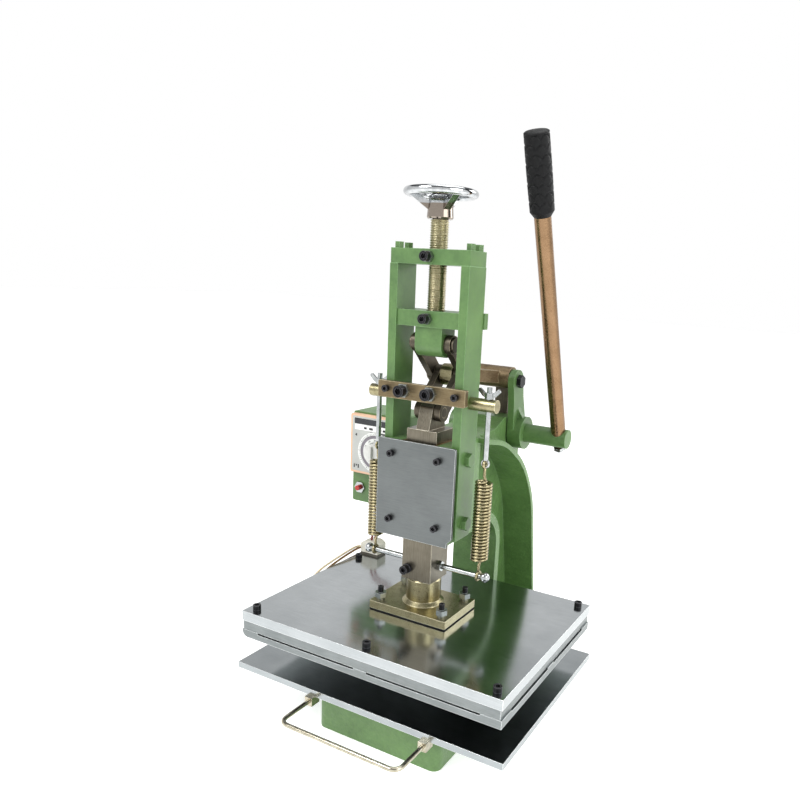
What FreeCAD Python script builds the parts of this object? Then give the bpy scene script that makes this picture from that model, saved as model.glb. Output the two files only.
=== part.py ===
import FreeCAD, Part
import Sketcher
import math
import os
import re

# Lever operated toggle press for embossing leather, with a heated platen of 400 x 300 mm.
# Millimetres. X to the right, Y to the back, Z up. The origin lies in the underside of the
# base, straight below the axis of the ram.

SIZES = {
    # base and bed
    "base_half_width": 98, "base_front": -111, "base_back": 305, "base_height": 75.5,
    "base_wall": 14, "base_corner": 12,
    "bed_half_width": 206.7, "bed_front": -152, "bed_back": 152, "bed_thickness": 9,
    "bed_guide_pitch": 150, "bed_guide_width": 16, "bed_guide_depth": 8, "slide_gap": 0.3,
    # heated platen
    "platen_half_width": 200, "platen_half_depth": 150, "daylight": 41,
    "die_plate_thick": 11, "heater_thick": 13, "cover_thick": 14, "heater_inset": 2,
    "die_slot_height": 2.3, "die_slot_depth": 7, "die_slot_end": 28, "die_slot_bridge": 20,
    "die_corner": 9, "platen_screw_inset": 14, "insulation_thick": 2,
    # mounting flange on the foot of the ram
    "flange_half_width": 61.6, "flange_front": -45, "flange_back": 43, "flange_thick": 11.1,
    "flange_boss_radius": 24.5, "flange_boss_rise": 36.4, "flange_ring": 5,
    "spigot_radius": 13, "spigot_length": 40, "level_x": 50, "level_front": -34, "level_back": 32,
    # ram and guide
    "ram_half": 23.2, "ram_deep": 22.6, "ram_shoulder_drop": 23, "tongue_half": 10, "ram_gap": 0.3,
    "gib_thick": 4, "clamp_screw_x": -14, "clamp_screw_rise": 16,
    "head_front": -27.6, "head_bottom": 275, "head_top": 411,
    "head_back": 60, "guide_cover_thick": 4, "guide_cover_left": -63, "guide_cover_right": 57,
    "guide_cover_clip": 7, "cover_screw_left": -41, "cover_screw_right": 32,
    "cover_screw_top": 391.5, "cover_screw_low": 299.5,
    # guide frame of two side plates and a crossbar
    "plate_inner": 46.4, "plate_outer": 58.3, "plate_front": -22.6, "plate_back": 22.2,
    "plate_bottom": 283, "plate_rise": 57.2, "crossbar_thick": 19, "crossbar_bolt_y": 11,
    "side_bolt_top": 392, "side_bolt_low": 303.5, "side_bolt_size": 17, "side_bolt_head": 7,
    "top_bolt_size": 10.5, "top_bolt_head": 8, "bolt_radius": 4, "bolt_gap": 0.1,
    # slider and screw spindle
    "slider_rise": 21.5, "slider_thick": 20.5, "slider_front": -20.6, "stem_half": 20,
    "stem_depth": 17, "slider_lug_half": 60, "slider_lug_thick": 12,
    "spindle_radius": 11.9, "spindle_seat": 4.5, "thread_gap": 0.2,
    "hub_rise": 36.8, "hub_radius": 17, "hub_length": 28, "wheel_bore": 8.05,
    "rim_rise": 31.5, "rim_radius": 42.5, "rim_bar": 5, "spoke_half": 5,
    # toggle
    "upper_pin_height": 540, "link_length": 65, "stroke": 40, "dead_angle": 2.5,
    "link_radius": 12.5, "link_thick": 9.5, "link_gap": 0.4, "pin_radius": 7, "pin_gap": 0.05,
    # lever, crank and connecting rod
    "shaft_y": 184, "shaft_drop": 140, "shaft_radius": 14.2, "shaft_end": 130, "shaft_tail": 64,
    "crank_pin_y": 168, "crank_pin_rise": 80, "crank_pin_radius": 5, "crank_inner": 40,
    "crank_pin_size": 17, "crank_pin_head": 7, "crank_rib_half": 4, "crank_rib_rise": 26,
    "crank_thick": 10, "crank_boss_end": 62, "crank_boss_radius": 25, "crank_head_radius": 17,
    "rod_length": 122.486, "rod_tilt": -5.367, "rod_hub_radius": 16.5, "rod_hub_half": 39,
    "rod_hub_bore": 11.15, "rod_half_height": 9, "rod_half_width": 9,
    "lever_x": 115, "lever_lean": 22.6, "lever_length": 431, "lever_radius": 11,
    "lever_neck": 8, "lever_stud": 5, "press_gap": 0.02,
    "grip_radius": 15.6, "grip_length": 100, "grip_cap": 11.5,
    # column
    "column_half": 38, "web_half": 7, "column_front": 153, "column_rise": 25,
    "throat_radius": 55, "rim_width": 13, "bearing_radius": 28, "bush_wall": 2.5,
    # outer arch of the column, from the guide head over the back and down to the base
    "arch_half": 60, "arch_wall": 7, "arch_radius": 170, "arch_start_z": 411.5,
    "arch_top_y": 118, "arch_top_z": 399, "arch_mid_y": 192, "arch_mid_z": 352,
    "arch_back_y": 238, "arch_back_z": 285, "arch_foot_y": 281,
    # spring hanger
    "hanger_half": 66, "hanger_thick": 8, "hanger_drop": 74, "hanger_height": 22,
    "stop_screw_left": -25.2, "stop_screw_right": 15.2, "stud_rise": 2, "stud_radius": 8.6,
    "stud_end": 97, "spring_x": 84.8, "spring_eye_radius": 5, "spring_rod_radius": 3.5,
    "rod_above_stud": 24, "rod_below_stud": 72, "spring_pin_rise": 21, "spring_pin_radius": 4,
    "spring_pin_end": 94.8, "spring_ball": 7, "spring_collar": 5,
    "spring_radius": 10.4, "spring_wire": 3.4, "spring_turns": 25, "spring_below_rod": 28,
    "spring_above_pin": 22, "eye_wire": 1.6, "eye_overlap": 0.4,
    "wing_core": 6, "wing_height": 8, "wing_half_thick": 1.3, "wing_tip": 17, "wing_rise": 14,
    # control box
    "box_left": -203, "box_right": -107, "box_front": 101, "box_back": 176,
    "box_bottom": 262, "box_top": 411, "bezel_size": 96, "bezel_low": 312, "bezel_thick": 8,
    "sheet_wall": 2, "switch_x": -188, "switch_z": 286,
    # ceramic terminal and heater leads
    "terminal_inset": 21, "terminal_half": 17, "terminal_deep": 12,
    "terminal_height": 25, "terminal_screw_y": 98, "lead_size": 3.4, "lead_pitch": 10, "lead_gap": 0.3,
    "lead_end_run": 20, "lead_bow": 38, "lead_dip": 6,
    # pull handle of the bed
    "handle_left": -76, "handle_right": 101, "handle_out": -212, "handle_radius": 3,
    "handle_bend": 12, "handle_drop": 6, "clip_half": 6, "clip_height": 12, "clip_grip": 10,
    # arm that carries the control box
    "arm_inset": 4, "arm_thick": 5, "arm_leg": 20, "arm_low": 40, "arm_high": 60,
}

# Heights that follow from the stack on the base or from the upper toggle pin, and angles that
# follow from the stroke.
DERIVED = {
    "slider_bottom": "(upper_pin_height + slider_rise)",
    "slider_top": "(slider_bottom + slider_thick)",
    "stem_bottom": "(upper_pin_height - stem_depth)",
    "plate_top": "(slider_top + plate_rise)",
    "spindle_foot": "(slider_bottom + spindle_seat)",
    "hub_bottom": "(crossbar_top + hub_rise)",
    "rim_height": "(hub_bottom + rim_rise)",
    "hanger_low": "(upper_pin_height - hanger_drop)",
    "hanger_high": "(hanger_low + hanger_height)",
    "stud_z": "(hanger_low + stud_rise)",
    "spring_rod_top": "(stud_z + rod_above_stud)",
    "spring_rod_low": "(stud_z - rod_below_stud)",
    "spring_top": "(spring_rod_low - spring_below_rod)",
    "spring_foot": "(spring_pin_z + spring_above_pin)",
    "spring_pin_z": "(flange_boss_top + spring_pin_rise)",
    "flange_boss_top": "(flange_top + flange_boss_rise)",
    "ram_shoulder": "(ram_pin_z - ram_shoulder_drop)",
    "shaft_z": "(upper_pin_height - shaft_drop)",
    "crank_pin_z": "(shaft_z + crank_pin_rise)",
    "column_top": "(shaft_z + column_rise)",
    "terminal_x": "(terminal_inset - platen_half_width)",
    "terminal_y": "(platen_half_depth - terminal_inset)",
    "handle_z": "(base_height - handle_drop)",
    "bed_top": "(base_height + bed_thickness)",
    "die_bottom": "(base_height + bed_thickness + daylight)",
    "heater_bottom": "(die_bottom + die_plate_thick)",
    "cover_bottom": "(heater_bottom + heater_thick)",
    "platen_top": "(cover_bottom + cover_thick)",
    "flange_bottom": "(platen_top + insulation_thick)",
    "flange_top": "(flange_bottom + flange_thick)",
    "rest_angle": "acos(cos(dead_angle) - stroke / (2 * link_length))",
    "knee_y": "(link_length * sin(rest_angle))",
    "knee_z": "(upper_pin_height - link_length * cos(rest_angle))",
    "ram_pin_z": "(upper_pin_height - 2 * link_length * cos(rest_angle))",
    "ram_top": "(ram_pin_z + link_radius - 1)",
    "inner_link": "(tongue_half + link_gap)",
    "outer_link": "(tongue_half + 2 * link_gap + link_thick)",
    "links_outside": "(tongue_half + 2 * link_gap + 2 * link_thick)",
    "hub_y": "(knee_y + rod_length * cos(rod_tilt))",
    "hub_z": "(knee_z + rod_length * sin(rod_tilt))",
    "crossbar_top": "(plate_top + crossbar_thick)",
    "cover_face": "(head_front - guide_cover_thick)",
    "hanger_face": "(plate_front - hanger_thick)",
    "box_face": "(box_front - bezel_thick)",
    "shaft_bore": "(shaft_radius + pin_gap)",
    "rod_bush_radius": "(pin_radius + 2)",
}

doc = FreeCAD.newDocument("toggle_press")
sheet = doc.addObject("Spreadsheet::Sheet", "Sizes")
for row, (alias, value) in enumerate(SIZES.items(), start=1):
    sheet.set(f"A{row}", alias)
    sheet.set(f"B{row}", str(value))
    sheet.setAlias(f"B{row}", alias)
doc.recompute()
probe = doc.addObject("Part::Vertex", "Probe")
NODES = []


def formula(text):
    """Turn words that name a size into references to the sheet."""
    text = str(text)
    before = ""
    while text != before:
        before = text
        text = re.sub(r"[a-z_]+", lambda hit: DERIVED.get(hit.group(), hit.group()), text)
    return re.sub(r"[a-z_]+", lambda hit: "Sizes." + hit.group() if hit.group() in SIZES
                  else hit.group(), text)


def bind(item, prop, text):
    item.setExpression(prop, formula(text))


def number(text):
    """Value of a formula now, in millimetres or degrees."""
    bind(probe, "X", text)
    probe.recompute()
    return probe.X.Value


def vector(x, y, z):
    return FreeCAD.Vector(number(x), number(y), number(z))


def block(name, x_span, y_span, z_span):
    """Rectangular solid between two formulas on each axis."""
    item = doc.addObject("Part::Box", name)
    for prop, axis, (low, high) in (("Length", "x", x_span), ("Width", "y", y_span),
                                    ("Height", "z", z_span)):
        bind(item, prop, f"({high}) - ({low})")
        bind(item, f"Placement.Base.{axis}", low)
    return item


TURNS = {
    "x": FreeCAD.Rotation(FreeCAD.Vector(0, 1, 0), 90),
    "y": FreeCAD.Rotation(FreeCAD.Vector(1, 0, 0), -90),
    "z": FreeCAD.Rotation(),
}


def lay(item, along, start, at):
    """Turn an upright primitive along an axis and set its foot."""
    item.Placement = FreeCAD.Placement(FreeCAD.Vector(), TURNS[along])
    others = [axis for axis in "xyz" if axis != along]
    bind(item, f"Placement.Base.{along}", start)
    for axis, place in zip(others, at):
        bind(item, f"Placement.Base.{axis}", place)


def bar(name, along, radius, start, end, at=("0", "0")):
    """Round bar along one axis; at holds its place on the two other axes."""
    item = doc.addObject("Part::Cylinder", name)
    bind(item, "Radius", radius)
    bind(item, "Height", f"({end}) - ({start})")
    lay(item, along, start, at)
    return item


def hexagon(name, along, across, start, end, at=("0", "0")):
    """Hexagonal prism with its width across the flats."""
    item = doc.addObject("Part::Prism", name)
    item.Polygon = 6
    bind(item, "Circumradius", f"({across}) / sqrt(3)")
    bind(item, "Height", f"({end}) - ({start})")
    lay(item, along, start, at)
    return item


def ball(name, radius, at):
    item = doc.addObject("Part::Sphere", name)
    bind(item, "Radius", radius)
    for axis, place in zip("xyz", at):
        bind(item, f"Placement.Base.{axis}", place)
    return item


def join(name, items):
    item = doc.addObject("Part::MultiFuse", name)
    item.Shapes = items
    item.Refine = True
    return item


def cut(name, base, tools):
    item = doc.addObject("Part::Cut", name)
    item.Base = base
    item.Tool = tools[0] if len(tools) == 1 else join(name + "_tools", tools)
    item.Refine = True
    return item


def trim(name, base, limit):
    item = doc.addObject("Part::Common", name)
    item.Base = base
    item.Tool = limit
    return item


def several(name, items):
    """Loose solids of one kind in one node."""
    item = doc.addObject("Part::Compound", name)
    item.Links = items
    return item


def node(name, item, at=None, turn=None):
    """Name a finished sub-part, and place it where it is built away from its seat."""
    item.Label = name
    if turn:
        axis, angle = turn
        item.Placement = FreeCAD.Placement(FreeCAD.Vector(), FreeCAD.Rotation(axis, number(angle)))
    if at:
        for axis, place in zip("xyz", at):
            bind(item, f"Placement.Base.{axis}", place)
    NODES.append(item)
    return item


def sketch(body, role, name, points, offset="0"):
    """Closed outline whose corners are held by formulas, on one of the body's own planes."""
    plane = [item for item in body.Origin.OriginFeatures if item.Role == role][0]
    drawing = body.newObject("Sketcher::SketchObject", name)
    drawing.AttachmentSupport = [(plane, "")]
    drawing.MapMode = "FlatFace"
    drawing.setExpression("AttachmentOffset.Base.z", formula(offset))
    corners = [FreeCAD.Vector(number(u), number(v), 0) for u, v in points]
    for here, there in zip(corners, corners[1:] + corners[:1]):
        drawing.addGeometry(Part.LineSegment(here, there), False)
    for index, (u, v) in enumerate(points):
        previous = (index - 1) % len(points)
        drawing.addConstraint(Sketcher.Constraint("Coincident", previous, 2, index, 1))
        for kind, text, value in (("DistanceX", u, corners[index].x),
                                  ("DistanceY", v, corners[index].y)):
            held = drawing.addConstraint(Sketcher.Constraint(kind, -1, 1, index, 1, value))
            drawing.setExpression(f"Constraints[{held}]", formula(text))
    return drawing


def profile(name, role, points, start, end, rounds=()):
    """Padded outline; rounds lists (corner number, radius) for the corners that are rounded.

    The outline lies in the XY, XZ or YZ plane and is padded from start to end on the third
    axis. The XZ plane faces -Y, so its offsets change sign.
    """
    body = doc.addObject("PartDesign::Body", name)
    offset = f"-({end})" if role == "XZ_Plane" else start
    drawing = sketch(body, role, name + "_outline", points, offset)
    pad = body.newObject("PartDesign::Pad", name + "_pad")
    pad.Profile = drawing
    bind(pad, "Length", f"({end}) - ({start})")
    doc.recompute()
    middle = (number(start) + number(end)) / 2
    for corner, radius in rounds:
        u, v = (number(value) for value in points[corner])
        target = {"XY_Plane": (u, v, middle), "XZ_Plane": (u, middle, v),
                  "YZ_Plane": (middle, u, v)}[role]
        tip = body.Tip
        edge = nearest_edge(tip.Shape, FreeCAD.Vector(*target))
        soft = body.newObject("PartDesign::Fillet", f"{name}_round_{corner}")
        soft.Base = (tip, [edge])
        bind(soft, "Radius", radius)
        doc.recompute()
    return body


def nearest_edge(shape, target):
    """Name of the edge whose middle lies nearest to a point."""
    gaps = [(edge.CenterOfMass.distanceToPoint(target), number_of)
            for number_of, edge in enumerate(shape.Edges, start=1)]
    return f"Edge{min(gaps)[1]}"


def turned(name, points):
    """Solid of revolution about Z from an outline of (radius, height) corners."""
    body = doc.addObject("PartDesign::Body", name)
    drawing = sketch(body, "XZ_Plane", name + "_outline", points)
    solid = body.newObject("PartDesign::Revolution", name + "_turn")
    solid.Profile = drawing
    solid.ReferenceAxis = (drawing, ["V_Axis"])
    solid.Angle = 360
    doc.recompute()
    return body


def cap_screw(name, along, at, seat, length, size, sign="-1"):
    """Socket head cap screw; its head stands on the seat, away from the sign of its shank."""
    head_end = f"{seat} + ({sign}) * ({size})"
    shank_end = f"{seat} - ({sign}) * ({length})"
    low_head, high_head = (head_end, seat) if sign == "-1" else (seat, head_end)
    low_shank, high_shank = (seat, shank_end) if sign == "-1" else (shank_end, seat)
    head = bar(name + "_head", along, f"0.78 * ({size})", low_head, high_head, at)
    shank = bar(name + "_shank", along, f"({size}) / 2", low_shank, high_shank, at)
    whole = join(name + "_whole", [head, shank])
    socket_end = f"{head_end} - ({sign}) * 0.55 * ({size})"
    low, high = (head_end, socket_end) if sign == "-1" else (socket_end, head_end)
    socket = hexagon(name + "_socket", along, f"0.85 * ({size})", low, high, at)
    return cut(name, whole, [socket])


def arch_line(inset):
    """Corners of the arch from its foot to the guide head, moved inwards by the inset."""
    shifts = ((1, 0), (0.95, 0.38), (0.71, 0.72), (0.37, 0.95), (0, 1))
    corners = (("arch_foot_y", "base_height - 2"), ("arch_back_y", "arch_back_z"),
               ("arch_mid_y", "arch_mid_z"), ("arch_top_y", "arch_top_z"),
               ("head_back - 8", "arch_start_z"))
    return [(f"{y} - {along} * {inset}", f"{z} - {up} * {inset}")
            for (y, z), (along, up) in zip(corners, shifts)]


def frame_casting():
    """Base, arched column and guide head in one casting."""
    base = profile("base_block", "XY_Plane",
                   [("-base_half_width", "base_front"), ("base_half_width", "base_front"),
                    ("base_half_width", "base_back"), ("-base_half_width", "base_back")],
                   "0", "base_height",
                   [(index, "base_corner") for index in range(4)])
    hollows = []
    for y_span in (("base_front + base_wall", "-base_wall / 2"),
                   ("base_wall / 2", "base_back - base_wall")):
        hollows.append(block("base_hollow",
                             ("-base_half_width + base_wall", "base_half_width - base_wall"),
                             y_span, ("-1", "base_height - base_wall - bed_guide_depth")))
    inner = arch_line("arch_wall")
    outline = ([("head_back - 40", "head_bottom"), ("column_front", "head_bottom"),
                ("column_front", "base_height - 2")] + inner[:3]
               + [("shaft_y + bearing_radius", "arch_mid_z - 24"),
                  ("shaft_y + bearing_radius", "column_top"), ("column_front", "column_top"),
                  ("column_front - 32", "head_top"), ("head_back - 40", "head_top")])
    column = profile("column", "YZ_Plane", outline, "-column_half", "column_half",
                     [(1, "throat_radius"), (7, "16"), (9, "20")])
    recess_outline = ([("head_back", "head_bottom + rim_width"),
                       ("column_front + rim_width", "head_bottom + rim_width"),
                       ("column_front + rim_width", "base_height + rim_width"),
                       ("arch_foot_y - arch_wall / 2", "base_height + rim_width")]
                      + arch_line("arch_wall / 2")[1:4]
                      + [("head_back", "arch_start_z - arch_wall / 2")])
    recesses = []
    for side, start, end in (("left", "-column_half - 1", "-web_half"),
                             ("right", "web_half", "column_half + 1")):
        recesses.append(profile("recess_" + side, "YZ_Plane", recess_outline, start, end,
                                [(1, "throat_radius + rim_width"), (0, "8"), (2, "8")]))
    outer = arch_line("0")
    rim = profile("arch_rim", "YZ_Plane", outer + list(reversed(inner)), "-arch_half",
                  "arch_half",
                  [(corner, "arch_radius") for corner in (1, 2, 3)]
                  + [(corner, "arch_radius - arch_wall") for corner in (6, 7, 8)])
    head = profile("guide_head", "XY_Plane",
                   [("-plate_inner", "head_front"), ("plate_inner", "head_front"),
                    ("plate_inner", "head_back"), ("column_half", "head_back + 12"),
                    ("-column_half", "head_back + 12"), ("-plate_inner", "head_back")],
                   "head_bottom", "head_top", [])
    slot = block("ram_slot", ("-ram_half - ram_gap - gib_thick", "ram_half + ram_gap + gib_thick"),
                 ("head_front - 1", "ram_deep + ram_gap"), ("head_bottom - 1", "head_top + 1"))
    shaft_hole = bar("shaft_hole", "x", "shaft_bore + bush_wall", "-column_half - 1",
                     "column_half + 1", ("shaft_y", "shaft_z"))
    tools = hollows + [slot, shaft_hole]
    for side in ("-1", "1"):
        tools.append(block("bed_groove", (f"{side} * bed_guide_pitch / 2 - bed_guide_width / 2"
                                          " - slide_gap",
                                          f"{side} * bed_guide_pitch / 2 + bed_guide_width / 2"
                                          " + slide_gap"),
                           ("base_front - 1", "bed_back"),
                           ("base_height - bed_guide_depth - slide_gap", "base_height + 1")))
        for height in ("side_bolt_top", "side_bolt_low"):
            tools.append(bar("side_bolt_hole", "x", "bolt_radius + bolt_gap",
                             f"{side} * (plate_inner - 9) - 10",
                             f"{side} * (plate_inner - 9) + 10", ("0", height)))
    for place in ("cover_screw_left", "cover_screw_right"):
        for height in ("cover_screw_top", "cover_screw_low"):
            tools.append(bar("cover_screw_hole", "y", "3.1", "head_front - 1", "head_front + 14",
                             (place, height)))
    solid = join("casting_solid", [cut("column_web", column, recesses), rim, head, base])
    node("frame_casting", cut("frame_casting_cut", solid, tools))
    bush = cut("shaft_bush_cut", bar("shaft_bush_bar", "x", "shaft_bore + bush_wall",
                                     "-column_half", "column_half", ("shaft_y", "shaft_z")),
               [bar("shaft_bush_bore", "x", "shaft_bore", "-column_half - 1", "column_half + 1",
                    ("shaft_y", "shaft_z"))])
    node("shaft_bush", bush)
    stop = profile("rest_stop_body", "YZ_Plane",
                   [("hub_y + rod_hub_radius + 0.3", "column_top"),
                    ("hub_y + rod_hub_radius + 26", "column_top"),
                    ("hub_y + rod_hub_radius + 26", "column_top + 9"),
                    ("hub_y + rod_hub_radius + 11", "column_top + 9"),
                    ("hub_y + rod_hub_radius + 11", "hub_z - 6"),
                    ("hub_y + rod_hub_radius + 0.3", "hub_z - 6")], "4", "26", [(3, "5")])
    node("rest_stop", stop)


def guide_frame():
    """Two side plates with a crossbar, their bolts, the ram's gibs and cover."""
    for side, name in ((-1, "left"), (1, "right")):
        low, high = (("-plate_outer", "-plate_inner") if side < 0 else
                     ("plate_inner", "plate_outer"))
        plate = profile(f"side_plate_{name}_body", "YZ_Plane",
                        [("plate_front", "plate_bottom"), ("plate_back - 8", "plate_bottom"),
                         ("plate_back", "plate_bottom + 8"), ("plate_back", "plate_top"),
                         ("plate_front", "plate_top")], low, high)
        middle = f"{side} * (plate_inner + plate_outer) / 2"
        holes = [bar("stud_hole", "x", "5.05", f"{low} - 1", f"{high} + 1", ("0", "stud_z"))]
        for height in ("side_bolt_top", "side_bolt_low"):
            holes.append(bar("plate_bolt_hole", "x", "4.1", f"{low} - 1", f"{high} + 1",
                             ("0", height)))
        for place in ("-crossbar_bolt_y", "crossbar_bolt_y"):
            holes.append(bar("top_bolt_hole", "z", "4.1", "plate_top - 25", "plate_top + 1",
                             (middle, place)))
        holes.append(bar("hanger_hole", "y", "3.1", "plate_front - 1", "plate_front + 16",
                         (middle, "hanger_low + 12")))
        node(f"side_plate_{name}", cut(f"side_plate_{name}_cut", plate, holes))
    bar_body = profile("crossbar_body", "XY_Plane",
                       [("-plate_outer", "plate_front"), ("plate_outer", "plate_front"),
                        ("plate_outer", "plate_back"), ("-plate_outer", "plate_back")],
                       "plate_top", "crossbar_top", [(index, "2") for index in range(4)])
    holes = [bar("spindle_hole", "z", "spindle_radius + thread_gap", "plate_top - 1",
                 "crossbar_top + 1"),
             bar("lock_hole", "y", "4.1", "plate_front - 1", "-spindle_radius + 1",
                 ("0", "plate_top + crossbar_thick / 2"))]
    bolts = []
    for side in ("-1", "1"):
        for place in ("-crossbar_bolt_y", "crossbar_bolt_y"):
            at = (f"{side} * (plate_inner + plate_outer) / 2", place)
            holes.append(bar("crossbar_bolt_hole", "z", "4.1", "plate_top - 1",
                             "crossbar_top + 1", at))
            bolts.append(join("crossbar_bolt", [
                hexagon("crossbar_bolt_head", "z", "top_bolt_size", "crossbar_top",
                        "crossbar_top + top_bolt_head", at),
                bar("crossbar_bolt_shank", "z", "bolt_radius", "plate_top - 22",
                    "crossbar_top + 1", at)]))
    node("crossbar", cut("crossbar_cut", bar_body, holes))
    lock_z = "plate_top + crossbar_thick / 2"
    lock = cap_screw("crossbar_lock", "y", ("0", lock_z), "plate_front - 6.5",
                     "6.5 - plate_front - spindle_radius - 0.4", "8")
    nut = hexagon("crossbar_lock_nut", "y", "13", "plate_front - 6.5", "plate_front", ("0", lock_z))
    crossbar_lock = join("crossbar_lock_set", [lock, nut])
    for side in (-1, 1):
        for height in ("side_bolt_top", "side_bolt_low"):
            at = ("0", height)
            spans = (("-plate_outer - side_bolt_head", "-plate_outer", "-plate_outer - 1",
                      "-plate_inner + 15") if side < 0 else
                     ("plate_outer", "plate_outer + side_bolt_head", "plate_inner - 15",
                      "plate_outer + 1"))
            bolts.append(join("side_bolt", [
                hexagon("side_bolt_head", "x", "side_bolt_size", spans[0], spans[1], at),
                bar("side_bolt_shank", "x", "bolt_radius", spans[2], spans[3], at)]))
    node("hex_bolts", several("hex_bolts_set", bolts))
    gibs = []
    for low, high in (("-ram_half - ram_gap - gib_thick", "-ram_half - ram_gap"),
                      ("ram_half + ram_gap", "ram_half + ram_gap + gib_thick")):
        gibs.append(block("ram_gib", (low, high), ("head_front", "ram_deep"),
                          ("head_bottom", "head_top")))
    node("ram_gibs", several("ram_gibs_set", gibs))
    cover = profile("guide_cover_body", "XZ_Plane",
                    [("guide_cover_left", "head_bottom"),
                     ("guide_cover_right - guide_cover_clip", "head_bottom"),
                     ("guide_cover_right - guide_cover_clip", "head_bottom + 6"),
                     ("guide_cover_right", "head_bottom + 6 + guide_cover_clip"),
                     ("guide_cover_right", "head_top"), ("guide_cover_left", "head_top")],
                    "cover_face", "head_front", [(4, "3"), (5, "3"), (0, "2")])
    holes = []
    screws = []
    for place in ("cover_screw_left", "cover_screw_right"):
        for height in ("cover_screw_top", "cover_screw_low"):
            holes.append(bar("guide_cover_hole", "y", "3.1", "cover_face - 1", "head_front + 1",
                             (place, height)))
            screws.append(cap_screw("guide_cover_screw", "y", (place, height), "cover_face",
                                    "guide_cover_thick + 12", "6"))
    node("guide_cover", cut("guide_cover_cut", cover, holes))
    return screws, crossbar_lock


def spring_hanger(screws, crossbar_lock):
    """Bar across the front, with stop screws, and the two studs that hold the springs."""
    height = "hanger_low + 12"
    bar_body = profile("hanger_bar_body", "XZ_Plane",
                       [("-hanger_half", "hanger_low"), ("hanger_half", "hanger_low"),
                        ("hanger_half", "hanger_high"), ("-hanger_half", "hanger_high")],
                       "hanger_face", "plate_front", [(index, "2") for index in range(4)])
    holes = []
    stops = [crossbar_lock]
    studs = []
    wing_nuts = []
    rods = []
    for place in ("stop_screw_left", "stop_screw_right"):
        holes.append(bar("stop_hole", "y", "5.1", "hanger_face - 1", "plate_front + 1",
                         (place, height)))
        screw = cap_screw("stop_screw", "y", (place, height), "hanger_face - 5",
                          "hanger_thick + 5 + 4", "10")
        washer = hexagon("stop_nut", "y", "17", "hanger_face - 5", "hanger_face", (place, height))
        stops.append(join("stop_set", [screw, washer]))
    for side in ("-1", "1"):
        at = (f"{side} * (plate_inner + plate_outer) / 2", height)
        holes.append(bar("hanger_screw_hole", "y", "3.1", "hanger_face - 1", "plate_front + 1",
                         at))
        screws.append(cap_screw("hanger_screw", "y", at, "hanger_face", "hanger_thick + 14", "6"))
    node("hanger_bar", cut("hanger_bar_cut", bar_body, holes))
    node("locking_screws", several("locking_screws_set", stops))
    node("cap_screws", several("cap_screws_set", screws))
    for side, name in ((-1, "left"), (1, "right")):
        low, high = (("-stud_end", "-plate_outer") if side < 0 else ("plate_outer", "stud_end"))
        stub = (("-plate_outer - 1", "-plate_inner") if side < 0 else
                ("plate_inner", "plate_outer + 1"))
        stud = join(f"stud_{name}_solid", [
            bar(f"stud_{name}_barrel", "x", "stud_radius", low, high, ("0", "stud_z")),
            bar(f"stud_{name}_stub", "x", "5", stub[0], stub[1], ("0", "stud_z"))])
        hole = bar(f"stud_{name}_hole", "z", "spring_rod_radius + 0.1", "stud_z - 12",
                   "stud_z + 12", (f"{side} * spring_x", "0"))
        studs.append(cut(f"hanger_stud_{name}_cut", stud, [hole]))
        wing_nuts.append(wing_nut(name, side))
        rods.append(spring_rod(name, side))
    node("hanger_studs", several("hanger_studs_set", studs))
    node("wing_nuts", several("wing_nuts_set", wing_nuts))
    node("spring_rods", several("spring_rods_set", rods))


def wing_nut(name, side):
    """Wing nut that rests on the stud and carries the spring rod."""
    x = f"{side} * spring_x"
    seat = "stud_z + stud_radius + 0.3"
    core = bar(f"wing_core_{name}", "z", "wing_core", seat, f"{seat} + wing_height", (x, "0"))
    wings = []
    for way in (-1, 1):
        wing = profile(f"wing_{name}_{way + 1}", "XZ_Plane",
                       [(f"{way} * 3", "0.5"), (f"{way} * 9", "3"),
                        (f"{way} * wing_tip", "wing_rise - 3"),
                        (f"{way} * (wing_tip - 4)", "wing_rise"), (f"{way} * 3", "6")],
                       "-wing_half_thick", "wing_half_thick", [(2, "2.5"), (3, "2")])
        bind(wing, "Placement.Base.x", x)
        bind(wing, "Placement.Base.z", seat)
        wings.append(wing)
    hole = bar(f"wing_hole_{name}", "z", "spring_rod_radius + 0.06", f"{seat} - 1",
               f"{seat} + 20", (x, "0"))
    return cut(f"wing_nut_{name}_cut", join(f"wing_nut_{name}_solid", [core] + wings), [hole])


def biarc_wire(points, directions):
    """Wire of two arcs between each pair of points, tangent to the given directions."""
    edges = []
    for (here, there), (leave, arrive) in zip(zip(points, points[1:]),
                                              zip(directions, directions[1:])):
        chord = there.sub(here)
        sum_of = leave.add(arrive)
        a = 2 * (1 - leave.dot(arrive))
        b = 2 * chord.dot(sum_of)
        reach = (chord.dot(chord) / (2 * chord.dot(arrive)) / 2 if a < 1e-9 else
                 (-b + math.sqrt(b * b + 4 * a * chord.dot(chord))) / (2 * a))
        first = here.add(FreeCAD.Vector(leave).multiply(reach))
        second = there.sub(FreeCAD.Vector(arrive).multiply(reach))
        middle = first.add(second).multiply(0.5)
        for start, corner, end in ((here, first, middle), (middle, second, there)):
            edges.append(tangent_arc(start, corner, end))
    return Part.Wire(edges)


def tangent_arc(start, corner, end):
    """Arc between two points whose tangents meet in the corner."""
    half = start.add(end).multiply(0.5)
    axis = corner.sub(half)
    side = start.distanceToPoint(end) / 2
    if axis.Length < 1e-7:
        return Part.LineSegment(start, end).toShape()
    angle = math.atan2(axis.Length, side)
    rise = side * math.tan(angle / 2)
    axis.normalize()
    return Part.Arc(start, half.add(axis.multiply(rise)), end).toShape()


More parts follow.
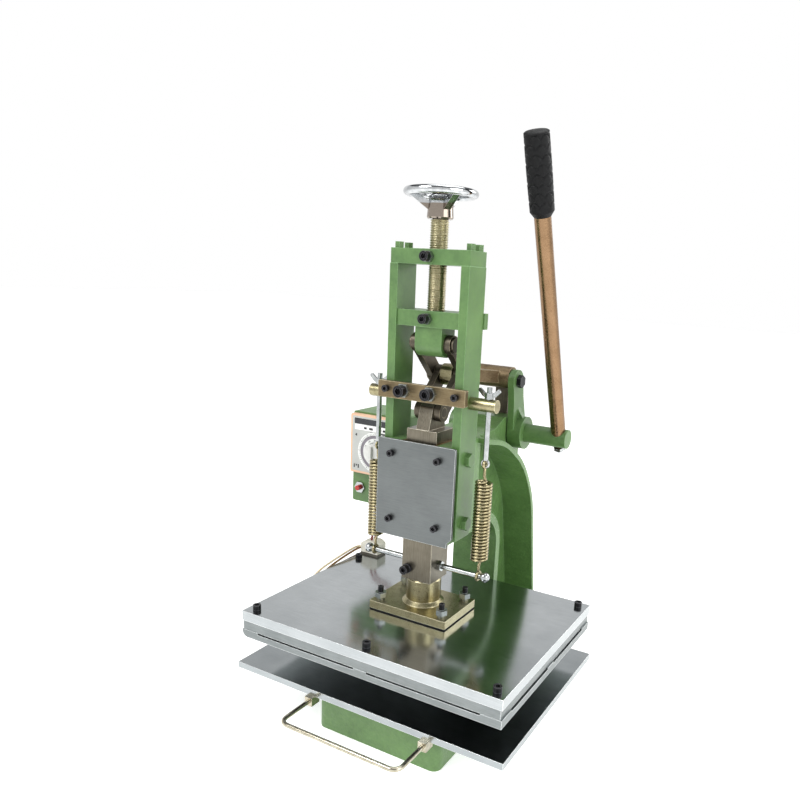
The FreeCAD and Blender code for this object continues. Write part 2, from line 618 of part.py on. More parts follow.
def coil(name, x, radius, wire, turns, top, foot, high_end, low_end):
    """Tension spring: a helix whose ends lead to its axis, in one unbroken tube."""
    pitch = (top - foot) / turns
    steps = int(turns * 4)
    points = []
    directions = []
    for step in range(steps + 1):
        angle = step * math.pi / 2
        height = foot + pitch * step / 4
        points.append(FreeCAD.Vector(x + radius * math.cos(angle), radius * math.sin(angle),
                                     height))
        slope = FreeCAD.Vector(-radius * math.sin(angle), radius * math.cos(angle),
                               pitch / (2 * math.pi))
        directions.append(slope.normalize())
    up = FreeCAD.Vector(0, 0, 1)
    low = [FreeCAD.Vector(x, 0, low_end), FreeCAD.Vector(x, 0, low_end + wire)]
    high = [FreeCAD.Vector(x, 0, high_end - wire), FreeCAD.Vector(x, 0, high_end)]
    points = low + points + high
    directions = [up, up] + directions + [up, up]
    path = biarc_wire(points[1:-1], directions[1:-1])
    edges = ([Part.LineSegment(low[0], low[1]).toShape()] + path.Edges
             + [Part.LineSegment(high[0], high[1]).toShape()])
    line = Part.Wire(edges)
    circle = Part.Wire([Part.Circle(low[0], up, wire / 2).toShape()])
    tube = line.makePipeShell([circle], True, False)
    samples = line.discretize(Number=1600)
    gap = least_gap(samples, wire)
    item = doc.addObject("Part::Feature", name + "_coil")
    item.Shape = tube
    print(name, "gap between turns", round(gap, 2), "volume", round(tube.Volume, 1),
          "section x length", round(math.pi * wire * wire / 4 * line.Length, 1))
    return item


def least_gap(samples, wire):
    """Smallest distance between stretches of a tube that are not neighbours."""
    reach = [0.0]
    for here, there in zip(samples, samples[1:]):
        reach.append(reach[-1] + here.distanceToPoint(there))
    least = 1e9
    for first in range(0, len(samples), 2):
        for second in range(first + 1, min(first + 90, len(samples))):
            if reach[second] - reach[first] > 4 * wire:
                least = min(least, samples[first].distanceToPoint(samples[second]) - wire)
    return least


def spring_rod(name, side):
    """Adjusting rod that hangs from the wing nut, with an eye for the spring at its foot."""
    x = f"{side} * spring_x"
    shank = bar(f"spring_rod_shank_{name}", "z", "spring_rod_radius", "spring_rod_low",
                "spring_rod_top", (x, "0"))
    eye = doc.addObject("Part::Torus", f"spring_rod_eye_{name}")
    bind(eye, "Radius1", "spring_eye_radius")
    bind(eye, "Radius2", "eye_wire")
    eye.Placement = FreeCAD.Placement(FreeCAD.Vector(),
                                      FreeCAD.Rotation(FreeCAD.Vector(1, 0, 0), 90))
    bind(eye, "Placement.Base.x", x)
    bind(eye, "Placement.Base.z", "spring_rod_low + eye_overlap - spring_eye_radius")
    return join(f"spring_rod_{name}_set", [shank, eye])


def springs():
    """Two springs, from the eye of each rod down to the pins in the ram."""
    high_end = "spring_rod_low + eye_overlap - 2 * spring_eye_radius - eye_wire - lead_gap"
    low_end = "spring_pin_z + spring_pin_radius + lead_gap"
    for side, name in ((-1, "left"), (1, "right")):
        item = coil(f"spring_{name}", side * number("spring_x"), number("spring_radius"),
                    number("spring_wire"), number("spring_turns"), number("spring_top"),
                    number("spring_foot"), number(high_end), number(low_end))
        node(f"spring_{name}", item)


def slider():
    """Crosshead between the side plates, with the stem that holds the upper toggle pin."""
    bar_body = profile("slider_bar", "XY_Plane",
                       [("-plate_inner + ram_gap", "slider_front"),
                        ("plate_inner - ram_gap", "slider_front"),
                        ("plate_inner - ram_gap", "plate_back + ram_gap"),
                        ("slider_lug_half", "plate_back + ram_gap"),
                        ("slider_lug_half", "plate_back + ram_gap + slider_lug_thick"),
                        ("-slider_lug_half", "plate_back + ram_gap + slider_lug_thick"),
                        ("-slider_lug_half", "plate_back + ram_gap"),
                        ("-plate_inner + ram_gap", "plate_back + ram_gap")],
                       "slider_bottom", "slider_top", [(4, "3"), (5, "3")])
    stem = profile("slider_stem", "YZ_Plane",
                   [("-stem_depth", "stem_bottom"), ("stem_depth", "stem_bottom"),
                    ("stem_depth", "slider_bottom + 2"), ("-stem_depth", "slider_bottom + 2")],
                   "-stem_half", "stem_half", [(0, "15"), (1, "15")])
    holes = [bar("slider_thread", "z", "spindle_radius + thread_gap", "spindle_foot - 0.3",
                 "slider_top + 1"),
             bar("upper_pin_hole", "x", "pin_radius + pin_gap", "-stem_half - 1",
                 "stem_half + 1", ("0", "upper_pin_height")),
             bar("slider_lock_hole", "y", "4.1", "slider_front - 1", "-spindle_radius + 1",
                 ("0", "slider_top - 10"))]
    node("slider", cut("slider_cut", join("slider_solid", [bar_body, stem]), holes))
    at = ("0", "slider_top - 10")
    lock = cap_screw("slider_lock", "y", at, "slider_front - 6.5",
                     "6.5 - slider_front - spindle_radius - 0.4", "8")
    nut = hexagon("slider_lock_nut", "y", "13", "slider_front - 6.5", "slider_front", at)
    node("slider_lock_screw", join("slider_lock_set", [lock, nut]))


def spindle():
    """Screw spindle with its handwheel and nut."""
    node("spindle", turned("spindle_body", [
        ("0", "spindle_foot"), ("spindle_radius - 2", "spindle_foot"),
        ("spindle_radius", "spindle_foot + 2"), ("spindle_radius", "hub_bottom"),
        ("wheel_bore - pin_gap", "hub_bottom"),
        ("wheel_bore - pin_gap", "hub_bottom + hub_length + 10"),
        ("0", "hub_bottom + hub_length + 10")]))
    hub = turned("wheel_hub", [
        ("wheel_bore", "hub_bottom"), ("hub_radius - 1.5", "hub_bottom"),
        ("hub_radius", "hub_bottom + 2"), ("hub_radius - 2", "hub_bottom + hub_length"),
        ("wheel_bore", "hub_bottom + hub_length")])
    rim = doc.addObject("Part::Torus", "wheel_rim")
    bind(rim, "Radius1", "rim_radius")
    bind(rim, "Radius2", "rim_bar")
    bind(rim, "Placement.Base.z", "rim_height")
    spoke = profile("wheel_spoke", "XZ_Plane",
                    [("hub_radius - 4", "hub_bottom + 9"), ("rim_radius - 3", "rim_height - 3.5"),
                     ("rim_radius - 1", "rim_height + 3"), ("rim_radius - 9", "rim_height + 2"),
                     ("hub_radius - 4", "hub_bottom + 20")], "-spoke_half", "spoke_half")
    spokes = doc.addObject("Part::MultiFuse", "wheel_spokes")
    turned_spokes = []
    for index in range(3):
        copy = doc.addObject("Part::Compound", f"wheel_spoke_{index}")
        copy.Links = [spoke]
        copy.Placement = FreeCAD.Placement(
            FreeCAD.Vector(), FreeCAD.Rotation(FreeCAD.Vector(0, 0, 1), 90 + 120 * index))
        turned_spokes.append(copy)
    spokes.Shapes = turned_spokes
    node("handwheel", join("handwheel_solid", [hub, rim, spokes]))
    nut = cut("handwheel_nut_cut",
              hexagon("handwheel_nut_hex", "z", "22", "hub_bottom + hub_length",
                      "hub_bottom + hub_length + 8"),
              [bar("handwheel_nut_bore", "z", "wheel_bore", "hub_bottom",
                   "hub_bottom + 2 * hub_length")])
    node("handwheel_nut", nut)


def link(name, low, high, foot_y, foot_z, angle, length="link_length"):
    """Flat link with two round ends and two bores, along a slanted line in the YZ plane."""
    ends = [bar(f"{name}_eye", "x", "link_radius", low, high),
            bar(f"{name}_far_eye", "x", "link_radius", low, high, ("0", length)),
            block(f"{name}_waist", (low, high), ("-link_radius + 2", "link_radius - 2"),
                  ("0", length))]
    bores = [bar(f"{name}_bore", "x", "pin_radius + pin_gap", f"{low} - 1", f"{high} + 1"),
             bar(f"{name}_far_bore", "x", "pin_radius + pin_gap", f"{low} - 1",
                 f"{high} + 1", ("0", length))]
    item = cut(f"{name}_cut", join(f"{name}_solid", ends), bores)
    node(name, item, ("0", foot_y, foot_z), (FreeCAD.Vector(1, 0, 0), angle))


def toggle():
    """Two pairs of links, with the pins at the top, the knee and the ram."""
    for side, name in ((-1, "left"), (1, "right")):
        spans = (("-links_outside", "-outer_link") if side < 0 else
                 ("outer_link", "links_outside"))
        link(f"upper_link_{name}", spans[0], spans[1], "knee_y", "knee_z", "rest_angle")
        spans = (("-inner_link - link_thick", "-inner_link") if side < 0 else
                 ("inner_link", "inner_link + link_thick"))
        link(f"lower_link_{name}", spans[0], spans[1], "0", "ram_pin_z", "-rest_angle")
    node("toggle_top_pin", pin("top_pin", "links_outside + 3", ("0", "upper_pin_height")))
    node("knee_pin", pin("knee_pin_bar", "links_outside + 3", ("knee_y", "knee_z")))
    node("ram_pin", pin("ram_pin_bar", "inner_link + link_thick", ("0", "ram_pin_z")))


def pin(name, half, at):
    """Plain pin with a shallow collar at each end outside the links."""
    body = bar(name + "_bar", "x", "pin_radius", f"-({half})", half, at)
    if "outside" not in half:
        return body
    collars = [bar(name + "_collar", "x", "pin_radius + 3", low, high, at)
               for low, high in ((f"-({half})", "-links_outside - link_gap"),
                                 ("links_outside + link_gap", half))]
    return join(name, [body] + collars)


def connecting_rod():
    """Rod from the knee to the crank, with its bush; the rear hub rides round the crank pin."""
    bore = bar("rod_eye_bore", "x", "rod_bush_radius + pin_gap", "-rod_half_width - 1",
               "rod_half_width + 1")
    bush = cut("rod_bush_cut", bar("rod_bush_bar", "x", "rod_bush_radius", "-rod_half_width",
                                   "rod_half_width", ("knee_y", "knee_z")),
               [bar("rod_bush_bore", "x", "pin_radius + pin_gap", "-rod_half_width - 1",
                    "rod_half_width + 1", ("knee_y", "knee_z"))])
    node("rod_bush", bush)
    turn = (FreeCAD.Vector(1, 0, 0), "rod_tilt")
    eye = profile("rod_end_body", "YZ_Plane",
                  [("-14", "-15"), ("14", "-15"), ("30", "-rod_half_height"),
                   ("30", "rod_half_height"), ("14", "15"), ("-14", "15")],
                  "-rod_half_width", "rod_half_width",
                  [(0, "12"), (1, "8"), (4, "8"), (5, "12")])
    node("rod_end", cut("rod_end_cut", eye, [bore]), ("0", "knee_y", "knee_z"), turn)
    shank = block("rod_shank", ("-rod_half_width", "rod_half_width"),
                  ("30", "rod_length - rod_hub_radius + 4"),
                  ("-rod_half_height", "rod_half_height"))
    hub = bar("rod_hub", "x", "rod_hub_radius", "-rod_hub_half", "rod_hub_half",
              ("rod_length", "0"))
    flare = profile("rod_flare", "XY_Plane",
                    [("-rod_half_width", "rod_length - 60"), ("rod_half_width", "rod_length - 60"),
                     ("26", "rod_length - 6"), ("-26", "rod_length - 6")],
                    "-rod_half_height", "rod_half_height")
    hub_bore = bar("rod_hub_hole", "x", "rod_hub_bore", "-rod_hub_half - 1", "rod_hub_half + 1",
                   ("rod_length", "0"))
    rod = cut("connecting_rod_cut", join("rod_solid", [shank, hub, flare]), [hub_bore])
    node("connecting_rod", rod, ("0", "knee_y", "knee_z"), turn)


def crank():
    """Lever shaft with its two crank arms and the pin between them."""
    shaft = bar("shaft_bar", "x", "shaft_radius", "-shaft_tail", "shaft_end",
                ("shaft_y", "shaft_z"))
    hole = join("lever_hole_slant", [
        bar("lever_hole", "z", "lever_neck + press_gap", "-2 * shaft_radius", "1"),
        bar("lever_socket", "z", "lever_radius + press_gap", "0", "2 * shaft_radius")])
    hole.Placement = FreeCAD.Placement(vector("lever_x", "shaft_y", "shaft_z"), FreeCAD.Rotation(
        FreeCAD.Vector(1, 0, 0), number("lever_lean")))
    node("lever_shaft", cut("lever_shaft_cut", shaft, [hole]))
    span = "sqrt((shaft_y - crank_pin_y)^2 + (crank_pin_z - shaft_z)^2)"
    lean = "atan((shaft_y - crank_pin_y) / (crank_pin_z - shaft_z))"
    for side, name in ((-1, "left"), (1, "right")):
        low, high = (("-crank_inner - crank_thick", "-crank_inner") if side < 0 else
                     ("crank_inner", "crank_inner + crank_thick"))
        boss = (("-crank_boss_end", "-crank_inner") if side < 0 else
                ("crank_inner", "crank_boss_end"))
        web = profile(f"crank_web_{name}", "YZ_Plane",
                      [("-crank_boss_radius + 1", "0"), ("crank_boss_radius - 1", "0"),
                       ("crank_head_radius", f"{span} - 30"), ("crank_head_radius", span),
                       ("-crank_head_radius", span), ("-crank_head_radius", f"{span} - 30")],
                      low, high)
        rib = profile(f"crank_rib_{name}", "XZ_Plane",
                      [(f"{side} * (crank_inner + 4)", "10"),
                       (f"{side} * (crank_boss_end - 3)", "10"),
                       (f"{side} * (crank_boss_end - 3)", "crank_boss_radius - 2"),
                       (f"{side} * (crank_inner + 4)", "crank_boss_radius + crank_rib_rise")],
                      "-crank_rib_half", "crank_rib_half")
        arm = join(f"crank_{name}_solid", [
            web, rib,
            bar(f"crank_head_{name}", "x", "crank_head_radius", low, high, ("0", span)),
            bar(f"crank_boss_{name}", "x", "crank_boss_radius", boss[0], boss[1], ("0", "0"))])
        bores = [bar(f"crank_bore_{name}", "x", "shaft_radius + press_gap",
                     f"{boss[0]} - 1",
                     f"{boss[1]} + 1", ("0", "0")),
                 bar(f"crank_eye_{name}", "x", "crank_pin_radius + press_gap",
                     f"{low} - 1", f"{high} + 1", ("0", span))]
        node(f"crank_arm_{name}", cut(f"crank_arm_{name}_cut", arm, bores),
             ("0", "shaft_y", "shaft_z"), (FreeCAD.Vector(1, 0, 0), lean))
    at = ("crank_pin_y", "crank_pin_z")
    head = hexagon("crank_pin_head", "x", "crank_pin_size", "crank_inner + crank_thick",
                   "crank_inner + crank_thick + crank_pin_head", at)
    nut = hexagon("crank_pin_nut", "x", "crank_pin_size",
                  "-crank_inner - crank_thick - crank_pin_head", "-crank_inner - crank_thick", at)
    node("crank_pin", join("crank_pin_solid", [
        head, nut, bar("crank_pin_bar", "x", "crank_pin_radius",
                       "-crank_inner - crank_thick - crank_pin_head - 2",
                       "crank_inner + crank_thick + 2", at)]))


def lever():
    """Hand lever through the shaft, with its rubber grip and the nut under the shaft."""
    turn = (FreeCAD.Vector(1, 0, 0), "lever_lean")
    at = ("lever_x", "shaft_y", "shaft_z")
    node("lever_rod", turned("lever_rod_body", [
        ("0", "-shaft_radius - 8"), ("lever_stud", "-shaft_radius - 8"),
        ("lever_stud", "-shaft_radius"), ("lever_neck", "-shaft_radius + 2"),
        ("lever_neck", "press_gap"), ("lever_radius", "press_gap"),
        ("lever_radius", "lever_length - grip_cap - 1.5"),
        ("lever_radius - 1.5", "lever_length - grip_cap"),
        ("0", "lever_length - grip_cap")]), at, turn)
    grip = turned("grip_body", [
        ("lever_radius + pin_gap", "lever_length - grip_length"),
        ("grip_radius - 3", "lever_length - grip_length"),
        ("grip_radius", "lever_length - grip_length + 5"),
        ("grip_radius", "lever_length - 2"), ("grip_radius - 2", "lever_length"),
        ("0", "lever_length"), ("0", "lever_length - grip_cap + pin_gap"),
        ("lever_radius + pin_gap", "lever_length - grip_cap + pin_gap")])
    node("lever_grip", grip, at, turn)
    nut_top = "-shaft_radius - 0.2"
    nut = join("lever_nut_solid", [
        hexagon("lever_nut_hex", "z", "17", f"{nut_top} - 5", nut_top),
        trim("lever_nut_dome", ball("lever_nut_ball", "8", ("0", "0", f"{nut_top} - 3")),
             bar("lever_nut_limit", "z", "9", f"{nut_top} - 12", f"{nut_top} - 4"))])
    nut = cut("lever_nut_cut", nut, [bar("lever_nut_bore", "z", "lever_stud + pin_gap",
                                         f"{nut_top} - 8", "0")])
    node("lever_nut", nut, at, turn)


def ram():
    """Square ram with its tongue and clamp screw, and the flange on its foot."""
    clamp_at = ("clamp_screw_x", "flange_boss_top + clamp_screw_rise")
    square = block("ram_square", ("-ram_half", "ram_half"), ("-ram_deep", "ram_deep"),
                   ("flange_boss_top", "ram_shoulder"))
    tongue = profile("ram_tongue", "YZ_Plane",
                     [("-ram_deep + 1", "ram_shoulder - 1"), ("ram_deep - 1", "ram_shoulder - 1"),
                      ("link_radius - 1", "ram_top"), ("-link_radius + 1", "ram_top")],
                     "-tongue_half", "tongue_half", [(2, "10"), (3, "10")])
    holes = [bar("ram_pin_hole", "x", "pin_radius + pin_gap", "-tongue_half - 1",
                 "tongue_half + 1", ("0", "ram_pin_z")),
             bar("ram_socket", "z", "spigot_radius + pin_gap", "flange_boss_top - 1",
                 "flange_boss_top + spigot_length"),
             bar("clamp_hole", "y", "bolt_radius + bolt_gap", "-ram_deep - 1", "-spigot_radius + 1",
                 clamp_at)]
    for side in (-1, 1):
        low, high = (("-ram_half - 1", "-spigot_radius - 1.5") if side < 0 else
                     ("spigot_radius + 1.5", "ram_half + 1"))
        holes.append(bar("spring_pin_seat", "x", "3.05", low, high, ("0", "spring_pin_z")))
    node("ram", cut("ram_cut", join("ram_solid", [square, tongue]), holes))
    clamp = cap_screw("ram_clamp", "y", clamp_at, "-ram_deep - 4",
                      "ram_deep + 4 - spigot_radius - 0.6", "2 * bolt_radius")
    spacer = bar("ram_clamp_washer", "y", "bolt_radius + 3", "-ram_deep - 4", "-ram_deep",
                 clamp_at)
    node("ram_clamp_screw", join("ram_clamp_set", [clamp, spacer]))
    plate = profile("flange_plate", "XY_Plane",
                    [("-flange_half_width", "flange_front"), ("flange_half_width", "flange_front"),
                     ("flange_half_width", "flange_back"), ("-flange_half_width", "flange_back")],
                    "flange_bottom", "flange_top", [(index, "1.5") for index in range(4)])
    boss = turned("flange_boss", [
        ("0", "flange_top - 1"), ("flange_boss_radius + flange_ring", "flange_top - 1"),
        ("flange_boss_radius + flange_ring", "flange_top + 1"),
        ("flange_boss_radius", "flange_top + flange_ring"),
        ("flange_boss_radius", "flange_boss_top - 1.5"),
        ("flange_boss_radius - 1.5", "flange_boss_top"), ("spigot_radius", "flange_boss_top"),
        ("spigot_radius", "flange_boss_top + spigot_length - 2"),
        ("0", "flange_boss_top + spigot_length - 2")])
    flange_holes = []
    screws = []
    sheet_holes = []
    for side in ("-1", "1"):
        for place in ("level_front", "level_back"):
            at = (f"{side} * level_x", place)
            flange_holes.append(bar("level_hole", "z", "4.1", "flange_bottom - 1",
                                    "flange_top + 1", at))
            sheet_holes.append(bar("sheet_hole", "z", "4.1", "platen_top - 1",
                                   "flange_bottom + 1", at))
            screw = bar("level_screw", "z", "4", "platen_top", "flange_top + 20", at)
            socket = hexagon("level_socket", "z", "4", "flange_top + 15", "flange_top + 21", at)
            nut = hexagon("level_nut", "z", "15", "flange_top + 4.5", "flange_top + 11.5", at)
            sleeve = bar("level_sleeve", "z", "5.6", "flange_top", "flange_top + 5", at)
            screws.append(cut("level_screw_cut", join("level_screw_set", [screw, nut, sleeve]),
                              [socket]))
    node("flange", cut("flange_cut", join("flange_solid", [plate, boss]), flange_holes))
    node("levelling_screws", several("levelling_screws_set", screws))
    paper = block("insulation_block", ("-flange_half_width + 1", "flange_half_width - 1"),
                  ("flange_front + 1", "flange_back - 1"), ("platen_top", "flange_bottom"))
    node("insulation_sheet", cut("insulation_sheet_cut", paper, sheet_holes))
    pins = []
    for side, name in ((-1, "left"), (1, "right")):
        low, high = (("-spring_pin_end", "-ram_half") if side < 0 else
                     ("ram_half", "spring_pin_end"))
        stub = (("-ram_half - 1", "-spigot_radius - 2") if side < 0 else
                ("spigot_radius + 2", "ram_half + 1"))
        collar = (("-ram_half - spring_collar", "-ram_half") if side < 0 else
                  ("ram_half", "ram_half + spring_collar"))
        at = ("0", "spring_pin_z")
        pins.append(join(f"spring_pin_{name}_solid", [
            bar(f"spring_pin_bar_{name}", "x", "spring_pin_radius", low, high, at),
            bar(f"spring_pin_stub_{name}", "x", "3", stub[0], stub[1], at),
            hexagon(f"spring_pin_collar_{name}", "x", "13", collar[0], collar[1], at),
            ball(f"spring_pin_ball_{name}", "spring_ball",
                 (f"{side} * spring_pin_end", "0", "spring_pin_z"))]))
    node("spring_pins", several("spring_pins_set", pins))


def platen():
    """Cover plate, heater block and slotted die plate, screwed together under the flange."""
    screws = []
    cover_holes = []
    heater_holes = []
    edge_x = "platen_half_width - platen_screw_inset"
    edge_y = "platen_half_depth - platen_screw_inset"
    for x, y in ((f"-({edge_x})", f"-({edge_y})"), (edge_x, f"-({edge_y})"), (edge_x, edge_y),
                 (f"-({edge_x})", "terminal_screw_y"), ("0", f"-({edge_y})")):
        screws.append(cap_screw("platen_screw", "z", (x, y), "platen_top",
                                "cover_thick + heater_thick - 3", "7", "1"))
        cover_holes.append(bar("platen_screw_hole", "z", "3.6", "cover_bottom - 1",
                               "platen_top + 1", (x, y)))
        heater_holes.append(bar("heater_screw_hole", "z", "3.6", "heater_bottom + 2",
                                "cover_bottom + 1", (x, y)))
    cover = block("cover_slab", ("-platen_half_width", "platen_half_width"),
                  ("-platen_half_depth", "platen_half_depth"), ("cover_bottom", "platen_top"))
    node("platen_cover", cut("platen_cover_cut", cover, cover_holes))
    node("platen_screws", several("platen_screws_set", screws))
    heater = block("heater_slab", ("-platen_half_width + heater_inset",
                                   "platen_half_width - heater_inset"),
                   ("-platen_half_depth + heater_inset / 4", "platen_half_depth"),
                   ("heater_bottom", "cover_bottom"))
    node("heater_block", cut("heater_block_cut", heater, heater_holes))
    plate = profile("die_plate_body", "XZ_Plane",
                    [("-platen_half_width", "die_bottom"), ("platen_half_width", "die_bottom"),
                     ("platen_half_width", "heater_bottom"),
                     ("-platen_half_width", "heater_bottom")],
                    "-platen_half_depth", "platen_half_depth", [(0, "die_corner")])
    slots = []
    top = "heater_bottom + 1"
    low = "heater_bottom - die_slot_height"
    for x0, x1 in (("-platen_half_width + die_slot_end", "-die_slot_bridge / 2"),
                   ("die_slot_bridge / 2", "platen_half_width - die_slot_end")):
        slots.append(block("front_slot", (x0, x1), ("-platen_half_depth - 1",
                                                    "-platen_half_depth + die_slot_depth"),
                           (low, top)))
    for y0, y1 in (("-platen_half_depth + die_slot_end", "-die_slot_bridge / 2"),
                   ("die_slot_bridge / 2", "platen_half_depth - die_slot_end")):
        slots.append(block("side_slot", ("platen_half_width - die_slot_depth",
                                         "platen_half_width + 1"), (y0, y1), (low, top)))
    node("die_plate", cut("die_plate_cut", plate, slots))


def terminal():
    """Ceramic terminal block of the heater, on the cover plate."""
    body = profile("terminal_body", "XZ_Plane",
                   [("terminal_x - terminal_half", "platen_top"),
                    ("terminal_x + terminal_half", "platen_top"),
                    ("terminal_x + terminal_half", "platen_top + terminal_height - 5"),
                    ("terminal_x + terminal_half - 8", "platen_top + terminal_height"),
                    ("terminal_x - terminal_half + 8", "platen_top + terminal_height"),
                    ("terminal_x - terminal_half", "platen_top + terminal_height - 5")],
                   "terminal_y - terminal_deep", "terminal_y + terminal_deep",
                   [(2, "2"), (5, "2")])
    node("ceramic_terminal", body)


def heater_leads():
    """Two sleeved leads that hang in a slack bow between the control box and the terminal."""
    x = number("terminal_x")
    top = number("box_bottom - lead_gap")
    foot = number("platen_top + terminal_height + lead_gap")
    end_run = number("lead_end_run")
    reach = number("lead_bow")
    dip = number("lead_dip")
    size = number("lead_size")
    tubes = []
    for side in (-1, 1):
        y = number("terminal_y") + side * number("lead_pitch") / 2
        corners = [FreeCAD.Vector(x, y, top), FreeCAD.Vector(x, y, top - end_run),
                   FreeCAD.Vector(x + reach, y, top - end_run - dip),
                   FreeCAD.Vector(x + reach, y, foot + end_run + dip),
                   FreeCAD.Vector(x, y, foot + end_run), FreeCAD.Vector(x, y, foot)]
        edges = rounded_route(corners)
        line = Part.Wire(edges)
        circle = Part.Wire([Part.Circle(corners[0], FreeCAD.Vector(0, 0, 1), size / 2).toShape()])
        tube = line.makePipeShell([circle], True, False)
        tubes.append(tube)
        print("lead length", round(line.Length, 1), "volume", round(tube.Volume, 1),
              "section x length", round(math.pi * size * size / 4 * line.Length, 1))
    item = doc.addObject("Part::Feature", "heater_leads_pair")
    item.Shape = Part.makeCompound(tubes)
    node("heater_leads", item)


def rounded_route(corners):
    """Straight runs with an arc at each inner corner, each as wide as its shorter run allows."""
    edges = []
    here = corners[0]
    for before, corner, after in zip(corners, corners[1:], corners[2:]):
        arrive = corner.sub(before).normalize()
        leave = after.sub(corner).normalize()
        half = arrive.getAngle(leave) / 2
        shorter = min(before.distanceToPoint(corner), corner.distanceToPoint(after))
        radius = 0.45 * shorter / math.tan(half)
        print("lead bend radius", round(radius, 1))
        reach = radius * math.tan(half)
        start = corner.sub(FreeCAD.Vector(arrive).multiply(reach))
        end = corner.add(FreeCAD.Vector(leave).multiply(reach))
        edges.append(Part.LineSegment(here, start).toShape())
        edges.append(tangent_arc(start, corner, end))
        here = end
    edges.append(Part.LineSegment(here, corners[-1]).toShape())
    return edges


def control_box():
    """Sheet steel box on an arm from the column, with the temperature controller."""
    shell = profile("control_shell", "XZ_Plane",
                    [("box_left", "box_bottom"), ("box_right", "box_bottom"),
                     ("box_right", "box_top"), ("box_left", "box_top")], "box_front", "box_back",
                    [(index, "3") for index in range(4)])
    inside = block("control_inside", ("box_left + sheet_wall", "box_right - sheet_wall"),
                   ("box_front + sheet_wall", "box_back - sheet_wall"),
                   ("box_bottom + sheet_wall", "box_top - sheet_wall"))
    window = block("control_window", ("box_left + 4", "box_right - 4"),
                   ("box_front - 1", "box_front + sheet_wall + 1"),
                   ("bezel_low + 3", "bezel_low + bezel_size - 3"))
    switch_hole = bar("switch_hole", "y", "6.1", "box_front - 1", "box_front + sheet_wall + 1",
                      ("switch_x", "switch_z"))
    node("control_box", cut("control_box_cut", shell, [inside, window, switch_hole]))
    arm_front = "column_front + arm_inset"
    arm = profile("control_arm_body", "XY_Plane",
                  [("box_right", arm_front), ("-column_half", arm_front),
                   ("-column_half", f"{arm_front} + arm_leg"),
                   ("-column_half - arm_thick", f"{arm_front} + arm_leg"),
                   ("-column_half - arm_thick", f"{arm_front} + arm_thick"),
                   ("box_right", f"{arm_front} + arm_thick")],
                  "box_bottom + arm_low", "box_top - arm_high")
    node("control_arm", arm)
    bezel = profile("bezel_body", "XZ_Plane",
                    [("box_left", "bezel_low"), ("box_right", "bezel_low"),
                     ("box_right", "bezel_low + bezel_size"),
                     ("box_left", "bezel_low + bezel_size")], "box_face", "box_front",
                    [(index, "2.5") for index in range(4)])
    sunk = block("bezel_sunk", ("box_left + 5", "box_right - 5"), ("box_face - 1", "box_face + 2"),
                 ("bezel_low + 5", "bezel_low + bezel_size - 5"))
    shaft_hole = bar("knob_hole", "y", "3.1", "box_face - 1", "box_front + 20",
                     ("(box_left + box_right) / 2", "bezel_low + 38"))
    case = block("controller_case_block", ("box_left + 6", "box_right - 6"),
                 ("box_front - 1", "box_back - 12"),
                 ("bezel_low + 5", "bezel_low + bezel_size - 5"))
    node("controller", cut("controller_cut", join("controller_solid", [bezel, case]),
                           [sunk, shaft_hole]))
    knob = join("controller_knob_solid", [
        bar("knob_disc", "y", "15", "box_face - 11", "box_face - 0.3",
            ("(box_left + box_right) / 2", "bezel_low + 38")),
        bar("knob_stem", "y", "3", "box_face - 1", "box_front + 16",
            ("(box_left + box_right) / 2", "bezel_low + 38")),
        block("knob_grip", ("(box_left + box_right) / 2 - 2.5", "(box_left + box_right) / 2 + 2.5"),
              ("box_face - 16", "box_face - 10"), ("bezel_low + 26", "bezel_low + 50"))])
    node("controller_knob", knob)
    at = ("switch_x", "switch_z")
    collar = cut("switch_body_cut", join("switch_body_solid", [
        bar("switch_barrel", "y", "6", "box_front - 3", "box_front + 24", at),
        hexagon("switch_nut", "y", "17", "box_front - 3", "box_front", at)]),
        [bar("switch_bore", "y", "4.2", "box_front - 4", "box_front + 8", at)])
    node("power_switch", collar)
    node("switch_button", bar("switch_plunger", "y", "4.1", "box_front - 9", "box_front + 4", at))


def bed():
    """Bed plate that pulls out on two guide strips, with its wire handle."""
    plate = block("bed_slab", ("-bed_half_width", "bed_half_width"), ("bed_front", "bed_back"),
                  ("base_height", "bed_top"))
    node("bed_plate", plate)
    strips = []
    for side in ("-1", "1"):
        strips.append(block("bed_guide", (f"{side} * bed_guide_pitch / 2 - bed_guide_width / 2",
                                          f"{side} * bed_guide_pitch / 2 + bed_guide_width / 2"),
                            ("base_front + 4", "bed_back - 5"),
                            ("base_height - bed_guide_depth", "base_height")))
    node("bed_guides", several("bed_guides_set", strips))
    blocks = []
    for place in ("handle_left", "handle_right"):
        blocks.append(block("handle_clip", (f"{place} - clip_half", f"{place} + clip_half"),
                            ("bed_front - clip_half", "bed_front + clip_grip"),
                            ("base_height - clip_height", "base_height")))
    node("tray_handle", join("tray_handle_solid", [wire_handle("handle_z")] + blocks))


